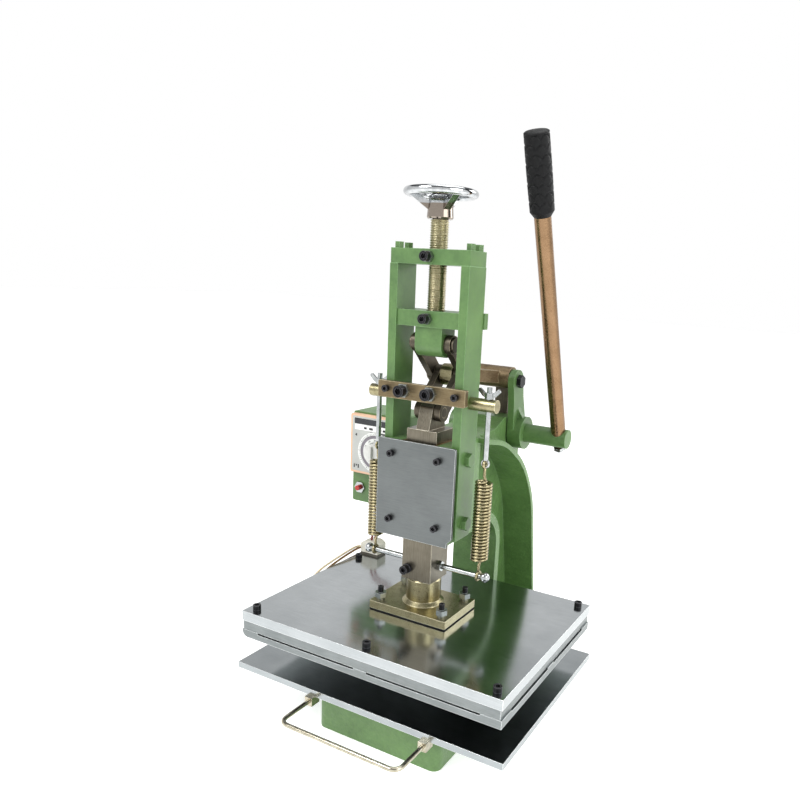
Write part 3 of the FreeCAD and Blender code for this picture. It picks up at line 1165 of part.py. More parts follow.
def wire_handle(height):
    """Bent wire: two legs and a cross run with round bends."""
    z = number(height)
    inner = number("bed_front + 4")
    outer = number("handle_out")
    left = number("handle_left")
    right = number("handle_right")
    bend = number("handle_bend")
    part = bend * (1 - math.sqrt(0.5))
    corner = FreeCAD.Vector
    edges = [
        Part.LineSegment(corner(left, inner, z), corner(left, outer + bend, z)).toShape(),
        Part.Arc(corner(left, outer + bend, z), corner(left + part, outer + part, z),
                 corner(left + bend, outer, z)).toShape(),
        Part.LineSegment(corner(left + bend, outer, z), corner(right - bend, outer, z)).toShape(),
        Part.Arc(corner(right - bend, outer, z), corner(right - part, outer + part, z),
                 corner(right, outer + bend, z)).toShape(),
        Part.LineSegment(corner(right, outer + bend, z), corner(right, inner, z)).toShape()]
    start = Part.Wire([Part.Circle(corner(left, inner, z), corner(0, 1, 0),
                                   number("handle_radius")).toShape()])
    item = doc.addObject("Part::Feature", "tray_handle_wire")
    item.Shape = Part.Wire(edges).makePipeShell([start], True, False)
    return item


def check_and_write():
    doc.recompute()
    faults = [item.Name for item in doc.Objects
              if "Invalid" in item.State or "Error" in item.State]
    faults += [item.Label for item in NODES
               if item.Shape.isNull() or not item.Shape.isValid() or not item.Shape.Solids]
    if faults:
        raise RuntimeError("these objects failed: " + ", ".join(faults))
    os.makedirs("parts", exist_ok=True)
    for item in NODES:
        item.Shape.exportStep(f"parts/{item.Label}.step")
        print(item.Label, len(item.Shape.Solids), round(item.Shape.Volume / 1000, 1), "cm3")
    print(len(NODES), "sub-parts")


frame_casting()
spring_hanger(*guide_frame())
for build in (springs, slider, spindle, toggle, connecting_rod, crank, lever, ram, platen,
              terminal, heater_leads, control_box, bed):
    build()
check_and_write()
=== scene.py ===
import math
import bmesh
import bpy
from mathutils import Matrix, Vector


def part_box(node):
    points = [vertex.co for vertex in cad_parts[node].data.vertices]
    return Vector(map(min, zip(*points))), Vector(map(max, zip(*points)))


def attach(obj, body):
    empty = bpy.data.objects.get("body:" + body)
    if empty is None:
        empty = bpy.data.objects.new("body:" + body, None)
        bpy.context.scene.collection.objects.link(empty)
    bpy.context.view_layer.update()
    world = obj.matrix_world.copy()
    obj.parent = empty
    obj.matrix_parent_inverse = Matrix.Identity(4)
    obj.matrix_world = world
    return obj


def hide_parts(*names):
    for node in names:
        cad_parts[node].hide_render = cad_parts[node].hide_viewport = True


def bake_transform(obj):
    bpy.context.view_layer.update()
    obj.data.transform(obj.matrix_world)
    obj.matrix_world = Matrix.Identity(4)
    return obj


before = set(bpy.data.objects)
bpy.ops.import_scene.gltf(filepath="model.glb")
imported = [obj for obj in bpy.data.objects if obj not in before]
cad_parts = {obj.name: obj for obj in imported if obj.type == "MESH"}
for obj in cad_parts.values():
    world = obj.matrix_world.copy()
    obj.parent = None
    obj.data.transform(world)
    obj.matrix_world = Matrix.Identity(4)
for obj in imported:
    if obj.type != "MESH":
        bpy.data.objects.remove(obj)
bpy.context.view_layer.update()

MM = 0.001
TAU = 2 * math.pi

# The photo: its side and its lens in pixels, and the pixel straight ahead of the lens
PHOTO_SIDE = 800
FOCAL_PIXELS = 720.5
AHEAD_PIXEL = (468.2, 457.7)
SENSOR_WIDTH = 36
# The photo's camera: its place and its three turns
CAMERA_PLACE = (0.4859, -0.8207, 0.6223)
CAMERA_YAW = math.radians(27.46)
CAMERA_PITCH = math.radians(13.79)
CAMERA_ROLL = math.radians(3.32)

# Places that follow the CAD model
PLATE_FRONT = -22.6 * MM
SLIDER_FRONT = -20.6 * MM
SPRING_X = 0.0848
SPRING_PIN_Z = 0.234
SPRING_EYE_Z = 0.3902
SHAFT_Y, SHAFT_Z = 0.184, 0.400
LEVER_X = 0.115
LEVER_LEAN = math.radians(22.6)
LEVER_LENGTH = 0.431
PANEL_X = -0.155
PANEL_FACE = 0.093
DIAL_Z = 0.350

# Heater leads: the corner points of their route from the box down to the terminal
LEAD_SIZE = 3.4 * MM
LEAD_X = -0.179
LEAD_BOW_X = -0.141
LEAD_ROUTES = [[(LEAD_X, y, 0.2617), (LEAD_X, y, 0.2417), (LEAD_BOW_X, y, 0.2357),
                (LEAD_BOW_X, y, 0.2148), (LEAD_X, y, 0.2088), (LEAD_X, y, 0.1888)]
               for y in (0.124, 0.134)]
# Two sleeved ends that run from the terminal down the platen's left edge to the heater
SLEEVE_SIZE = 3.6 * MM
SLEEVE_ROUTES = [
    ("sleeved_end_front", 0.163,
     [(-0.196, 0.124, 0.1735), (-0.2045, 0.124, 0.1735), (-0.2058, 0.106, 0.1735),
      (-0.2058, 0.060, 0.1690), (-0.2058, 0.014, 0.1625), (-0.2050, -0.012, 0.1440),
      (-0.2005, -0.028, 0.1425)]),
    ("sleeved_end_back", 0.148,
     [(-0.196, 0.132, 0.1690), (-0.2045, 0.132, 0.1690), (-0.2058, 0.114, 0.1688),
      (-0.2055, 0.070, 0.1645), (-0.2058, 0.032, 0.1570), (-0.2050, 0.010, 0.1430),
      (-0.2005, -0.006, 0.1425)])]

# How every finish is patterned, and how its edges are lightened: partly rubbed wear, partly
# painted highlight
NOISE_DETAIL = 4.0
NOISE_ROUGHNESS = 0.6
NOISE_SPAN = (0.3, 0.7)
BEVEL_RAYS = 6
EDGE_WEAR_AND_HIGHLIGHT_WIDTH = 1.1 * MM
EDGE_WEAR_AND_HIGHLIGHT_SPAN = (0.95, 0.996)
COAT_ROUGHNESS = 0.25
# Least turn, in degrees, that stays a sharp edge where faces are shaded smooth
WIRE_CREASE = 50
TURNED_CREASE = 40
PANEL_CREASE = 30
# A pattern's stretch: even, or drawn out into lines along an axis
EVEN = (1, 1, 1)
ALONG_X, ALONG_Y, ALONG_Z = (0.05, 1, 1), (1, 0.05, 1), (1, 1, 0.05)
CUT_X = (0.03, 1, 1)
LEVEL = (0.05, 0.05, 1)
FORGED_Z = (1, 1, 0.1)


def linear(code):
    """Linear colour of an sRGB hex code."""
    parts = [int(code[at:at + 2], 16) / 255 for at in (1, 3, 5)]
    return tuple(part / 12.92 if part <= 0.04045 else ((part + 0.055) / 1.055) ** 2.4
                 for part in parts) + (1.0,)


def polar(radius, turn, height=0.0, centre=(0.0, 0.0)):
    """Point round an upright line through the centre, where turn is a share of a full turn."""
    return Vector((centre[0] + radius * math.cos(TAU * turn),
                   centre[1] + radius * math.sin(TAU * turn), height))


def give(tree, node, sockets):
    """Give a node's sockets their values, or their links from other nodes."""
    for name, value in sockets.items():
        if isinstance(value, bpy.types.NodeSocket):
            tree.links.new(value, node.inputs[name])
        else:
            node.inputs[name].default_value = value


def add(tree, kind, sockets=None, stops=(), **settings):
    """Add a node with its settings, its sockets' values or links, and its colour stops."""
    made = tree.nodes.new(kind)
    for name, value in settings.items():
        setattr(made, name, value)
    give(tree, made, sockets or {})
    while stops and len(made.color_ramp.elements) < len(stops):
        made.color_ramp.elements.new(0.5)
    for position, (at, code) in enumerate(stops):
        element = made.color_ramp.elements[position]
        element.position = at
        element.color = linear(code)
    return made


def finish(name, tones, cloud, rough, streaks=(), grain=1 * MM, along=EVEN, share=0.3,
           metallic=0.0, rounding=0.6 * MM, edge_wear_and_highlight=None, bumps=(), coat=0.0, zones=(), gloss=0.5):
    """Material of clouds and a fine grain, on the object's own coordinates in metres.

    The tones colour the clouds, the streaks colour a share of the grain, and the edge tone is a
    lighter tone laid along the edges, partly rubbed wear and partly painted highlight. A bump
    is (size, stretch, strength, depth). A zone is (limits, tone, metallic), with limits (axis,
    from, to), for a stretch of the part with another finish.
    """
    material = bpy.data.materials.new(name)
    material.use_nodes = True
    tree = material.node_tree
    place = add(tree, "ShaderNodeTexCoord").outputs["Object"]

    def pattern(size, stretch):
        spread = add(tree, "ShaderNodeMapping", {"Vector": place, "Scale": stretch})
        return add(tree, "ShaderNodeTexNoise",
                   {"Vector": spread.outputs["Vector"], "Scale": 1 / size,
                    "Detail": NOISE_DETAIL, "Roughness": NOISE_ROUGHNESS}).outputs["Fac"]

    def mixed(share_of_second, first, second):
        return add(tree, "ShaderNodeMix", {0: share_of_second, 6: first, 7: second},
                   data_type="RGBA").outputs[2]

    def ranged(value, start, end, low, high):
        return add(tree, "ShaderNodeMapRange",
                   {"Value": value, "From Min": start, "From Max": end, "To Min": low,
                    "To Max": high}).outputs["Result"]

    colour = add(tree, "ShaderNodeValToRGB", {"Fac": pattern(cloud, EVEN)}, tones).outputs["Color"]
    fine = pattern(grain, along)
    if streaks:
        lines = add(tree, "ShaderNodeValToRGB", {"Fac": fine}, streaks).outputs["Color"]
        colour = mixed(share, colour, lines)
    normal = add(tree, "ShaderNodeBevel", {"Radius": rounding},
                 samples=BEVEL_RAYS).outputs["Normal"]
    # The edges take a lighter tone: partly rubbed wear, partly a painted highlight where edges
    # would catch the light
    if edge_wear_and_highlight:
        wide = add(tree, "ShaderNodeBevel", {"Radius": EDGE_WEAR_AND_HIGHLIGHT_WIDTH}, samples=BEVEL_RAYS)
        face = add(tree, "ShaderNodeNewGeometry").outputs["Normal"]
        meet = add(tree, "ShaderNodeVectorMath", {0: wide.outputs["Normal"], 1: face},
                   operation="DOT_PRODUCT")
        colour = mixed(ranged(meet.outputs["Value"], *EDGE_WEAR_AND_HIGHLIGHT_SPAN, 1.0, 0.0), colour, linear(edge_wear_and_highlight))
    shine = metallic
    for limits, tone, metal in zones:
        parts = add(tree, "ShaderNodeSeparateXYZ", {"Vector": place}).outputs
        inside = 1.0
        for axis, low, high in limits:
            within = add(tree, "ShaderNodeMath",
                         {0: parts[axis], 1: (low + high) / 2, 2: (high - low) / 2},
                         operation="COMPARE").outputs["Value"]
            inside = add(tree, "ShaderNodeMath", {0: inside, 1: within},
                         operation="MULTIPLY").outputs["Value"]
        colour = mixed(inside, colour, linear(tone))
        shine = ranged(inside, 0.0, 1.0, shine, metal)
    for size, stretch, strength, depth in bumps:
        normal = add(tree, "ShaderNodeBump",
                     {"Height": pattern(size, stretch), "Strength": strength, "Distance": depth,
                      "Normal": normal}).outputs["Normal"]
    give(tree, tree.nodes["Principled BSDF"],
         {"Base Color": colour, "Normal": normal, "Metallic": shine,
          "Roughness": ranged(fine, *NOISE_SPAN, *rough), "Specular IOR Level": gloss,
          "Coat Weight": coat, "Coat Roughness": COAT_ROUGHNESS})
    return material


# Stretches of a part with another finish: zinc nuts, bare iron and a steel foot
NUT_IN_CROSSBAR = [("Y", PLATE_FRONT - 6.5 * MM, PLATE_FRONT + 1 * MM), ("Z", 0.6, 0.7)]
NUTS_IN_HANGER = [("Y", PLATE_FRONT - 13 * MM, PLATE_FRONT - 8 * MM), ("Z", 0.4, 0.5)]
NUT_IN_SLIDER = [("Y", SLIDER_FRONT - 6.5 * MM, SLIDER_FRONT + 1 * MM)]
NUTS_ON_FLANGE = [("Z", 0.170, 0.1885)]
WHEEL_UNDERSIDE = [("Z", 0.690, 0.7135)]
TERMINAL_FOOT = [("Z", 0.160, 0.1675)]
ZINC = "#8F9492"
# What several finishes share
# The enamel's lighter green edge tone is a painted highlight along its edges
ENAMEL = {"cloud": 45 * MM, "streaks": [(0.30, "#3A5A2D"), (0.70, "#6C9252")],
          "grain": 5 * MM, "edge_wear_and_highlight": "#749D63"}
SCREW = {"tones": [(0.30, "#0D0D0F"), (0.75, "#1F1F22")], "cloud": 2 * MM, "metallic": 0.55,
         "rounding": 0.4 * MM, "edge_wear_and_highlight": "#56565A"}
WEAVE = {"cloud": 14 * MM, "grain": 1.0 * MM, "share": 0.4, "rough": (0.6, 0.8),
         "rounding": 0.2 * MM, "bumps": [(0.8 * MM, EVEN, 0.6, 0.25 * MM)]}

FINISHES = {
    # brushed machine enamel over rough iron: the sand shows through as soft lumps
    "casting": finish(
        "cast green enamel", [(0.30, "#4E6F3C"), (0.52, "#5B7E46"), (0.75, "#688C50")],
        rough=(0.34, 0.50), share=0.25, rounding=1.6 * MM, coat=0.15,
        bumps=[(9 * MM, EVEN, 0.8, 1.6 * MM), (3.2 * MM, EVEN, 0.7, 0.7 * MM)], **ENAMEL),
    # the same enamel on milled bars: flat, with brush waves
    "paint": finish(
        "smooth green enamel", [(0.30, "#456536"), (0.52, "#50723D"), (0.75, "#5C7F45")],
        rough=(0.36, 0.50), share=0.18, rounding=1.2 * MM, coat=0.12,
        bumps=[(8 * MM, EVEN, 0.4, 0.18 * MM), (1.2 * MM, EVEN, 0.25, 0.08 * MM)], **ENAMEL),
    # ground mild steel: dull grey with fine level lines
    "cover": finish(
        "ground steel cover", [(0.25, "#626666"), (0.75, "#767A7A")], cloud=60 * MM,
        rough=(0.34, 0.50), streaks=[(0.3, "#5A5E5E"), (0.7, "#7E8282")], grain=0.8 * MM,
        along=ALONG_X, share=0.35, metallic=1.0, rounding=0.5 * MM, edge_wear_and_highlight="#C4C8C8",
        bumps=[(0.8 * MM, ALONG_X, 0.16, 0.05 * MM)]),
    # fly-cut aluminium alloy: bright, mirrors the room softly along the cut
    "platen": finish(
        "milled platen metal", [(0.25, "#9DA2A4"), (0.75, "#B7BBBD")], cloud=70 * MM,
        rough=(0.12, 0.20), streaks=[(0.3, "#93989A"), (0.7, "#C0C4C5")], grain=0.9 * MM,
        along=CUT_X, metallic=1.0, rounding=0.5 * MM, edge_wear_and_highlight="#E3E6E6",
        bumps=[(0.9 * MM, CUT_X, 0.12, 0.04 * MM)]),
    # sawn edge of the same alloy: duller, with level saw marks, and a darker grey that is painted
    # shade on the side faces
    "platen_side": finish(
        "sawn platen edge with painted shade", [(0.25, "#707576"), (0.75, "#8C9191")], cloud=40 * MM,
        rough=(0.30, 0.46), streaks=[(0.3, "#646969"), (0.7, "#9A9F9F")], grain=0.8 * MM,
        along=LEVEL, share=0.35, metallic=1.0, rounding=0.5 * MM, edge_wear_and_highlight="#D5D9D9",
        bumps=[(0.8 * MM, LEVEL, 0.2, 0.05 * MM)]),
    # polished steel sheet: nearly a mirror, so it is dark under the platen
    "bed": finish(
        "polished bed steel", [(0.25, "#8D9395"), (0.75, "#ABB0B2")], cloud=70 * MM,
        rough=(0.12, 0.22), streaks=[(0.3, "#858B8D"), (0.7, "#B3B7B9")], grain=0.9 * MM,
        along=CUT_X, metallic=1.0, rounding=0.5 * MM, edge_wear_and_highlight="#D9DCDC",
        bumps=[(0.9 * MM, CUT_X, 0.1, 0.03 * MM)]),
    # yellow zinc plating: pale straw gold with greenish and rosy clouds
    "gold": finish(
        "yellow zinc plating",
        [(0.25, "#787052"), (0.48, "#A29A78"), (0.62, "#8D8464"), (0.80, "#B3AB8C")],
        cloud=14 * MM, rough=(0.24, 0.40), streaks=[(0.3, "#7A7356"), (0.7, "#B5AE90")],
        grain=1.5 * MM, metallic=1.0, rounding=0.7 * MM, edge_wear_and_highlight="#DAD3B3",
        bumps=[(1.5 * MM, EVEN, 0.18, 0.05 * MM)]),
    # the same plating on drawn wire: smooth, so that each turn has one bright line
    "spring": finish(
        "zinc plated spring wire", [(0.3, "#8C8262"), (0.7, "#ACA280")], cloud=9 * MM,
        rough=(0.20, 0.32), streaks=[(0.3, "#776D4E"), (0.7, "#BAB192")], grain=1.2 * MM,
        metallic=1.0, rounding=0.3 * MM),
    # plated plate that lies flat: more olive and cloudy than the turned boss
    "hanger": finish(
        "olive zinc hanger bar", [(0.25, "#5E533D"), (0.5, "#7B6C50"), (0.78, "#8D7F62")],
        cloud=16 * MM, rough=(0.34, 0.5), streaks=[(0.3, "#57493A"), (0.7, "#94866A")],
        grain=1.4 * MM, along=ALONG_X, share=0.35, metallic=0.9, rounding=0.7 * MM,
        edge_wear_and_highlight="#B7AA8A", bumps=[(1.4 * MM, ALONG_X, 0.2, 0.06 * MM)]),
    # drawn bar that went golden brown with age: satin, with small darker patches
    "lever": finish(
        "golden brown drawn bar", [(0.25, "#7E6349"), (0.7, "#97795C")], cloud=24 * MM,
        rough=(0.24, 0.36), streaks=[(0.28, "#6E543B"), (0.78, "#A38768")], grain=2.4 * MM,
        metallic=1.0, rounding=0.7 * MM, edge_wear_and_highlight="#C2AC8A",
        bumps=[(1.4 * MM, EVEN, 0.12, 0.05 * MM)]),
    # forged links and pins with a film of oil: dark grey brown, with lighter edges that are partly
    # rubbed wear and partly painted highlight
    "brown": finish(
        "oiled brown steel", [(0.25, "#403D36"), (0.6, "#565148"), (0.8, "#6B6557")],
        cloud=18 * MM, rough=(0.32, 0.5), streaks=[(0.28, "#38332C"), (0.75, "#857966")],
        grain=1.6 * MM, along=FORGED_Z, share=0.35, metallic=0.85, rounding=0.7 * MM,
        edge_wear_and_highlight="#A3967F", bumps=[(1.6 * MM, EVEN, 0.3, 0.1 * MM)]),
    # ground square bar under oil: warm grey with upright grinding lines
    "ram": finish(
        "ground ram steel", [(0.3, "#5D584D"), (0.7, "#7A7467")], cloud=26 * MM,
        rough=(0.26, 0.42), streaks=[(0.28, "#4E493F"), (0.72, "#8B8576")], grain=1.0 * MM,
        along=ALONG_Z, share=0.4, metallic=0.95, rounding=0.7 * MM, edge_wear_and_highlight="#B5AF9F",
        bumps=[(1.0 * MM, ALONG_Z, 0.2, 0.06 * MM)]),
    # bare bar with old rust: brown, with dull lines along its length
    "rod": finish(
        "rusty connecting rod", [(0.3, "#5F4E3A"), (0.7, "#8C7A5E")], cloud=15 * MM,
        rough=(0.36, 0.55), streaks=[(0.28, "#4A3B2B"), (0.72, "#9A8768")], grain=1.5 * MM,
        along=ALONG_Y, share=0.4, metallic=0.8, rounding=0.7 * MM, edge_wear_and_highlight="#B1A183",
        bumps=[(1.5 * MM, ALONG_Y, 0.3, 0.1 * MM)]),
    # oil-blackened socket screws: near black, with grey edges that are partly rubbed wear and
    # partly painted highlight
    "black": finish("black oxide screw", rough=(0.32, 0.46), **SCREW),
    # the same screws, each locked by a nut whose zinc is pale and bright
    "nuts_front": finish(
        "black screw with zinc nut", rough=(0.25, 0.4), **SCREW,
        zones=[(NUT_IN_CROSSBAR, ZINC, 1.0), (NUTS_IN_HANGER, ZINC, 1.0)]),
    "nut_slider": finish(
        "slider screw with zinc nut", rough=(0.25, 0.4), **SCREW,
        zones=[(NUT_IN_SLIDER, ZINC, 1.0)]),
    "nuts_flange": finish(
        "levelling screw with zinc nut", rough=(0.25, 0.4), **SCREW,
        zones=[(NUTS_ON_FLANGE, ZINC, 1.0)]),
    # polished chrome: hard highlights, with the rough underside of the casting left dull
    "wheel": finish(
        "bright chrome rim", [(0.3, "#A4A7A9"), (0.75, "#CFD1D2")], cloud=9 * MM,
        rough=(0.04, 0.12), metallic=1.0, zones=[(WHEEL_UNDERSIDE, "#8F857B", 0.9)]),
    # chrome on small turned parts: bright, but softer than the rim
    "chrome": finish(
        "bright chrome", [(0.3, "#9DA1A1"), (0.75, "#BFC2C2")], cloud=9 * MM,
        rough=(0.14, 0.27), metallic=1.0),
    # nickel on bent wire: as bright, with a yellow cast
    "nickel": finish(
        "nickel plated wire", [(0.3, "#A09A86"), (0.75, "#CFC9B8")], cloud=9 * MM,
        rough=(0.14, 0.26), metallic=1.0),
    # moulded rubber: near black and dull, with a faint skin
    "rubber": finish(
        "black rubber grip", [(0.30, "#060607"), (0.75, "#101112")], cloud=6 * MM,
        rough=(0.45, 0.65), rounding=0.4 * MM, gloss=0.2,
        bumps=[(0.7 * MM, EVEN, 0.35, 0.08 * MM)]),
    # turned bearing bronze: warm brown gold, satin
    "bronze": finish(
        "bearing bronze", [(0.3, "#7E6238"), (0.7, "#A07E4B")], cloud=20 * MM,
        rough=(0.3, 0.45), metallic=1.0),
    # pressed insulation board: flat black, finely pitted
    "sheet": finish(
        "black insulation sheet", [(0.3, "#101010"), (0.7, "#1B1B1A")], cloud=12 * MM,
        rough=(0.6, 0.75), bumps=[(1.1 * MM, EVEN, 0.3, 0.1 * MM)]),
    # fired ceramic on a dark steel foot: off-white, dull and a little lumpy
    "ceramic": finish(
        "fired ceramic", [(0.3, "#D2CEBE"), (0.7, "#EAE7DC")], cloud=9 * MM,
        rough=(0.4, 0.6), streaks=[(0.3, "#C4BFAE"), (0.7, "#F0EDE4")], grain=1.2 * MM,
        bumps=[(2.5 * MM, EVEN, 0.5, 0.5 * MM)],
        zones=[(TERMINAL_FOOT, "#6A665C", 0.8)]),
    # moulded bezel: even salmon pink with a fine spark texture
    "salmon": finish(
        "salmon plastic bezel", [(0.3, "#D6AC8D"), (0.7, "#E2BC9F")], cloud=30 * MM,
        rough=(0.4, 0.5), bumps=[(1.1 * MM, EVEN, 0.2, 0.05 * MM)]),
    # printed plastic plate: even pale grey, satin
    "panel": finish(
        "grey panel plate", [(0.3, "#AEB0AC"), (0.7, "#BCBEBA")], cloud=25 * MM,
        rough=(0.45, 0.55), bumps=[(0.9 * MM, EVEN, 0.15, 0.03 * MM)]),
    # moulded scale rings: smooth white, a little shiny
    "ring": finish(
        "white scale ring", [(0.3, "#D8D9D6"), (0.7, "#E6E7E4")], cloud=25 * MM,
        rough=(0.3, 0.42)),
    # printed band between the rings: flat violet grey
    "scale": finish(
        "violet grey scale", [(0.3, "#6E6970"), (0.7, "#7E7980")], cloud=12 * MM,
        rough=(0.4, 0.5)),
    # screen-printed ink: black with a soft sheen
    "ink": finish(
        "black dial print", [(0.3, "#141415"), (0.7, "#202021")], cloud=10 * MM,
        rough=(0.4, 0.5)),
    # smoked acrylic: nearly black, with sharp reflections
    "window": finish(
        "dark window", [(0.3, "#191B1E"), (0.7, "#24272B")], cloud=15 * MM,
        rough=(0.1, 0.16)),
    # paper: white and dull
    "label": finish(
        "white paper label", [(0.3, "#ECECEA"), (0.7, "#F6F6F4")], cloud=15 * MM,
        rough=(0.5, 0.6)),
    # moulded knob: pale warm grey, satin
    "knob": finish(
        "pale knob plastic", [(0.3, "#C6C6C2"), (0.7, "#D8D8D4")], cloud=8 * MM,
        rough=(0.3, 0.45)),
    # glossy switch cap: strong red with clear highlights
    "red": finish(
        "red switch cap", [(0.3, "#A81C16"), (0.7, "#C22A20")], cloud=6 * MM,
        rough=(0.15, 0.3)),
    # silicone insulation: dark red, smooth and dull
    "lead": finish(
        "dark red lead insulation", [(0.3, "#6A1216"), (0.7, "#8A1F22")], cloud=6 * MM,
        rough=(0.4, 0.55), bumps=[(0.6 * MM, EVEN, 0.3, 0.1 * MM)]),
    # woven glass sleeves: dull cream and brown, the weave drawn at twice its size to show
    "sleeve": finish("woven cream sleeve", [(0.3, "#D5C29B"), (0.7, "#E9DCBF")],
                     streaks=[(0.3, "#B79B6C"), (0.7, "#F0E7D2")], **WEAVE),
    "sleeve_brown": finish("woven brown sleeve", [(0.3, "#7E5B33"), (0.7, "#A67C4A")],
                           streaks=[(0.3, "#5F4426"), (0.7, "#BB9663")], **WEAVE),
}

NODE_FINISH = {
    "casting": ["frame_casting"],
    "paint": ["side_plate_left", "side_plate_right", "crossbar", "hex_bolts", "slider",
              "crank_arm_left", "crank_arm_right", "lever_shaft", "control_box", "control_arm"],
    "cover": ["guide_cover"],
    "platen": ["platen_cover"],
    "platen_side": ["heater_block", "die_plate"],
    "bed": ["bed_plate", "bed_guides"],
    "gold": ["flange", "rod_end", "hanger_studs", "spindle", "spring_left", "spring_right"],
    "lever": ["lever_rod"],
    "brown": ["upper_link_left", "upper_link_right", "lower_link_left", "lower_link_right",
              "rest_stop", "toggle_top_pin", "knee_pin", "ram_pin"],
    "hanger": ["hanger_bar"],
    "rod": ["connecting_rod"],
    "ram": ["ram"],
    "black": ["cap_screws", "ram_clamp_screw", "platen_screws", "crank_pin", "handwheel_nut"],
    "nuts_front": ["locking_screws"],
    "nut_slider": ["slider_lock_screw"],
    "nuts_flange": ["levelling_screws"],
    "wheel": ["handwheel"],
    "chrome": ["wing_nuts", "spring_rods", "spring_pins", "lever_nut", "power_switch"],
    "nickel": ["tray_handle"],
    "bronze": ["shaft_bush", "ram_gibs", "rod_bush"],
    "sheet": ["insulation_sheet"],
    "rubber": ["lever_grip"],
    "ceramic": ["ceramic_terminal"],
    "salmon": ["controller"],
    "knob": ["controller_knob"],
    "red": ["switch_button"],
    "lead": ["heater_leads"],
}


def dress_nodes():
    """Give every CAD node its finish."""
    for tone, names in NODE_FINISH.items():
        for name in names:
            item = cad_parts[name]
            item.data.materials.clear()
            item.data.materials.append(FINISHES[tone])


def shown(name, data):
    """Object with this data, linked into the scene."""
    item = bpy.data.objects.new(name, data)
    bpy.context.scene.collection.objects.link(item)
    return item


def new_piece(name, mesh, tone, body):
    """Object from a bmesh, with its finish and slot, riding on its body if it has one."""
    data = bpy.data.meshes.new(name)
    mesh.to_mesh(data)
    mesh.free()
    data.materials.clear()
    data.materials.append(FINISHES[tone])
    item = shown(name, data)
    if body:
        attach(item, body)
    return item


def smooth(mesh, angle):
    """Shade the faces smooth, but for edges that turn by more than the angle in degrees."""
    bmesh.ops.recalc_face_normals(mesh, faces=mesh.faces)
    for face in mesh.faces:
        face.smooth = True
    for edge in mesh.edges:
        if edge.is_manifold and edge.calc_face_angle(0) > math.radians(angle):
            edge.smooth = False


def skin_rings(mesh, rings):
    """Faces between rings with the same number of points, closed at both ends."""
    rows = [[mesh.verts.new(point) for point in ring] for ring in rings]
    for low, high in zip(rows, rows[1:]):
        for index in range(len(low)):
            after = (index + 1) % len(low)
            mesh.faces.new((low[index], low[after], high[after], high[index]))
    mesh.faces.new(list(reversed(rows[0])))
    mesh.faces.new(rows[-1])


def open_tree(name, inputs):
    """Geometry tree with named inputs; gives the tree, its inputs and its last node."""
    tree = bpy.data.node_groups.new(name, "GeometryNodeTree")
    tree.interface.new_socket("Geometry", in_out="INPUT", socket_type="NodeSocketGeometry")
    for label, kind in inputs:
        tree.interface.new_socket(label, in_out="INPUT", socket_type=kind)
    tree.interface.new_socket("Geometry", in_out="OUTPUT", socket_type="NodeSocketGeometry")
    return tree, add(tree, "NodeGroupInput").outputs, add(tree, "NodeGroupOutput")


def close_tree(tree, shape, tone, end):
    """End a geometry tree: copies made real, the finish set, and the shape given out."""
    whole = add(tree, "GeometryNodeRealizeInstances", {"Geometry": shape})
    dressed = add(tree, "GeometryNodeSetMaterial",
                  {"Geometry": whole.outputs["Geometry"], "Material": tone})
    give(tree, end, {"Geometry": dressed.outputs["Geometry"]})
    return tree


def round_wire_tree():
    """Round bar of one thickness along a line of points."""
    tree, given, end = open_tree("round wire", [
        ("Radius", "NodeSocketFloat"), ("Sides", "NodeSocketInt"),
        ("Finish", "NodeSocketMaterial")])
    line = add(tree, "GeometryNodeMeshToCurve", {"Mesh": given["Geometry"]})
    section = add(tree, "GeometryNodeCurvePrimitiveCircle",
                  {"Resolution": given["Sides"], "Radius": given["Radius"]})
    bar = add(tree, "GeometryNodeCurveToMesh",
              {"Curve": line.outputs["Curve"], "Profile Curve": section.outputs["Curve"],
               "Fill Caps": True})
    return close_tree(tree, bar.outputs["Mesh"], given["Finish"], end)


def scale_marks_tree():
    """Raised marks spread evenly round a ring, as on a dial."""
    tree, given, end = open_tree("scale marks", [
        ("Count", "NodeSocketInt"), ("Radius", "NodeSocketFloat"), ("Mark", "NodeSocketVector"),
        ("Finish", "NodeSocketMaterial")])
    ring = add(tree, "GeometryNodeMeshCircle",
               {"Vertices": given["Count"], "Radius": given["Radius"]})
    mark = add(tree, "GeometryNodeMeshCube", {"Size": given["Mark"]})
    share = add(tree, "ShaderNodeMath", {0: TAU, 1: given["Count"]}, operation="DIVIDE")
    turn = add(tree, "ShaderNodeMath",
               {0: add(tree, "GeometryNodeInputIndex").outputs["Index"],
                1: share.outputs["Value"]}, operation="MULTIPLY")
    about = add(tree, "ShaderNodeCombineXYZ", {"Z": turn.outputs["Value"]})
    placed = add(tree, "GeometryNodeInstanceOnPoints",
                 {"Points": ring.outputs["Mesh"], "Instance": mark.outputs["Mesh"],
                  "Rotation": about.outputs["Vector"]})
    return close_tree(tree, placed.outputs["Instances"], given["Finish"], end)


def grow(tree, values, line=()):
    """Bmesh of what a geometry tree makes with these values, along a line of points."""
    data = bpy.data.meshes.new("seed")
    if line:
        data.from_pydata(line, [(at, at + 1) for at in range(len(line) - 1)], [])
    item = shown("seed", data)
    growth = item.modifiers.new("growth", "NODES")
    growth.node_group = tree
    for socket in tree.interface.items_tree:
        if socket.in_out == "INPUT" and socket.name in values:
            growth[socket.identifier] = values[socket.name]
    shape = item.evaluated_get(bpy.context.evaluated_depsgraph_get())
    grown = bpy.data.meshes.new_from_object(shape)
    bpy.data.objects.remove(item)
    mesh = bmesh.new()
    mesh.from_mesh(grown)
    bpy.data.meshes.remove(grown)
    bmesh.ops.remove_doubles(mesh, verts=mesh.verts, dist=0.001 * MM)
    smooth(mesh, WIRE_CREASE)
    return mesh


WIRE = round_wire_tree()
MARKS = scale_marks_tree()


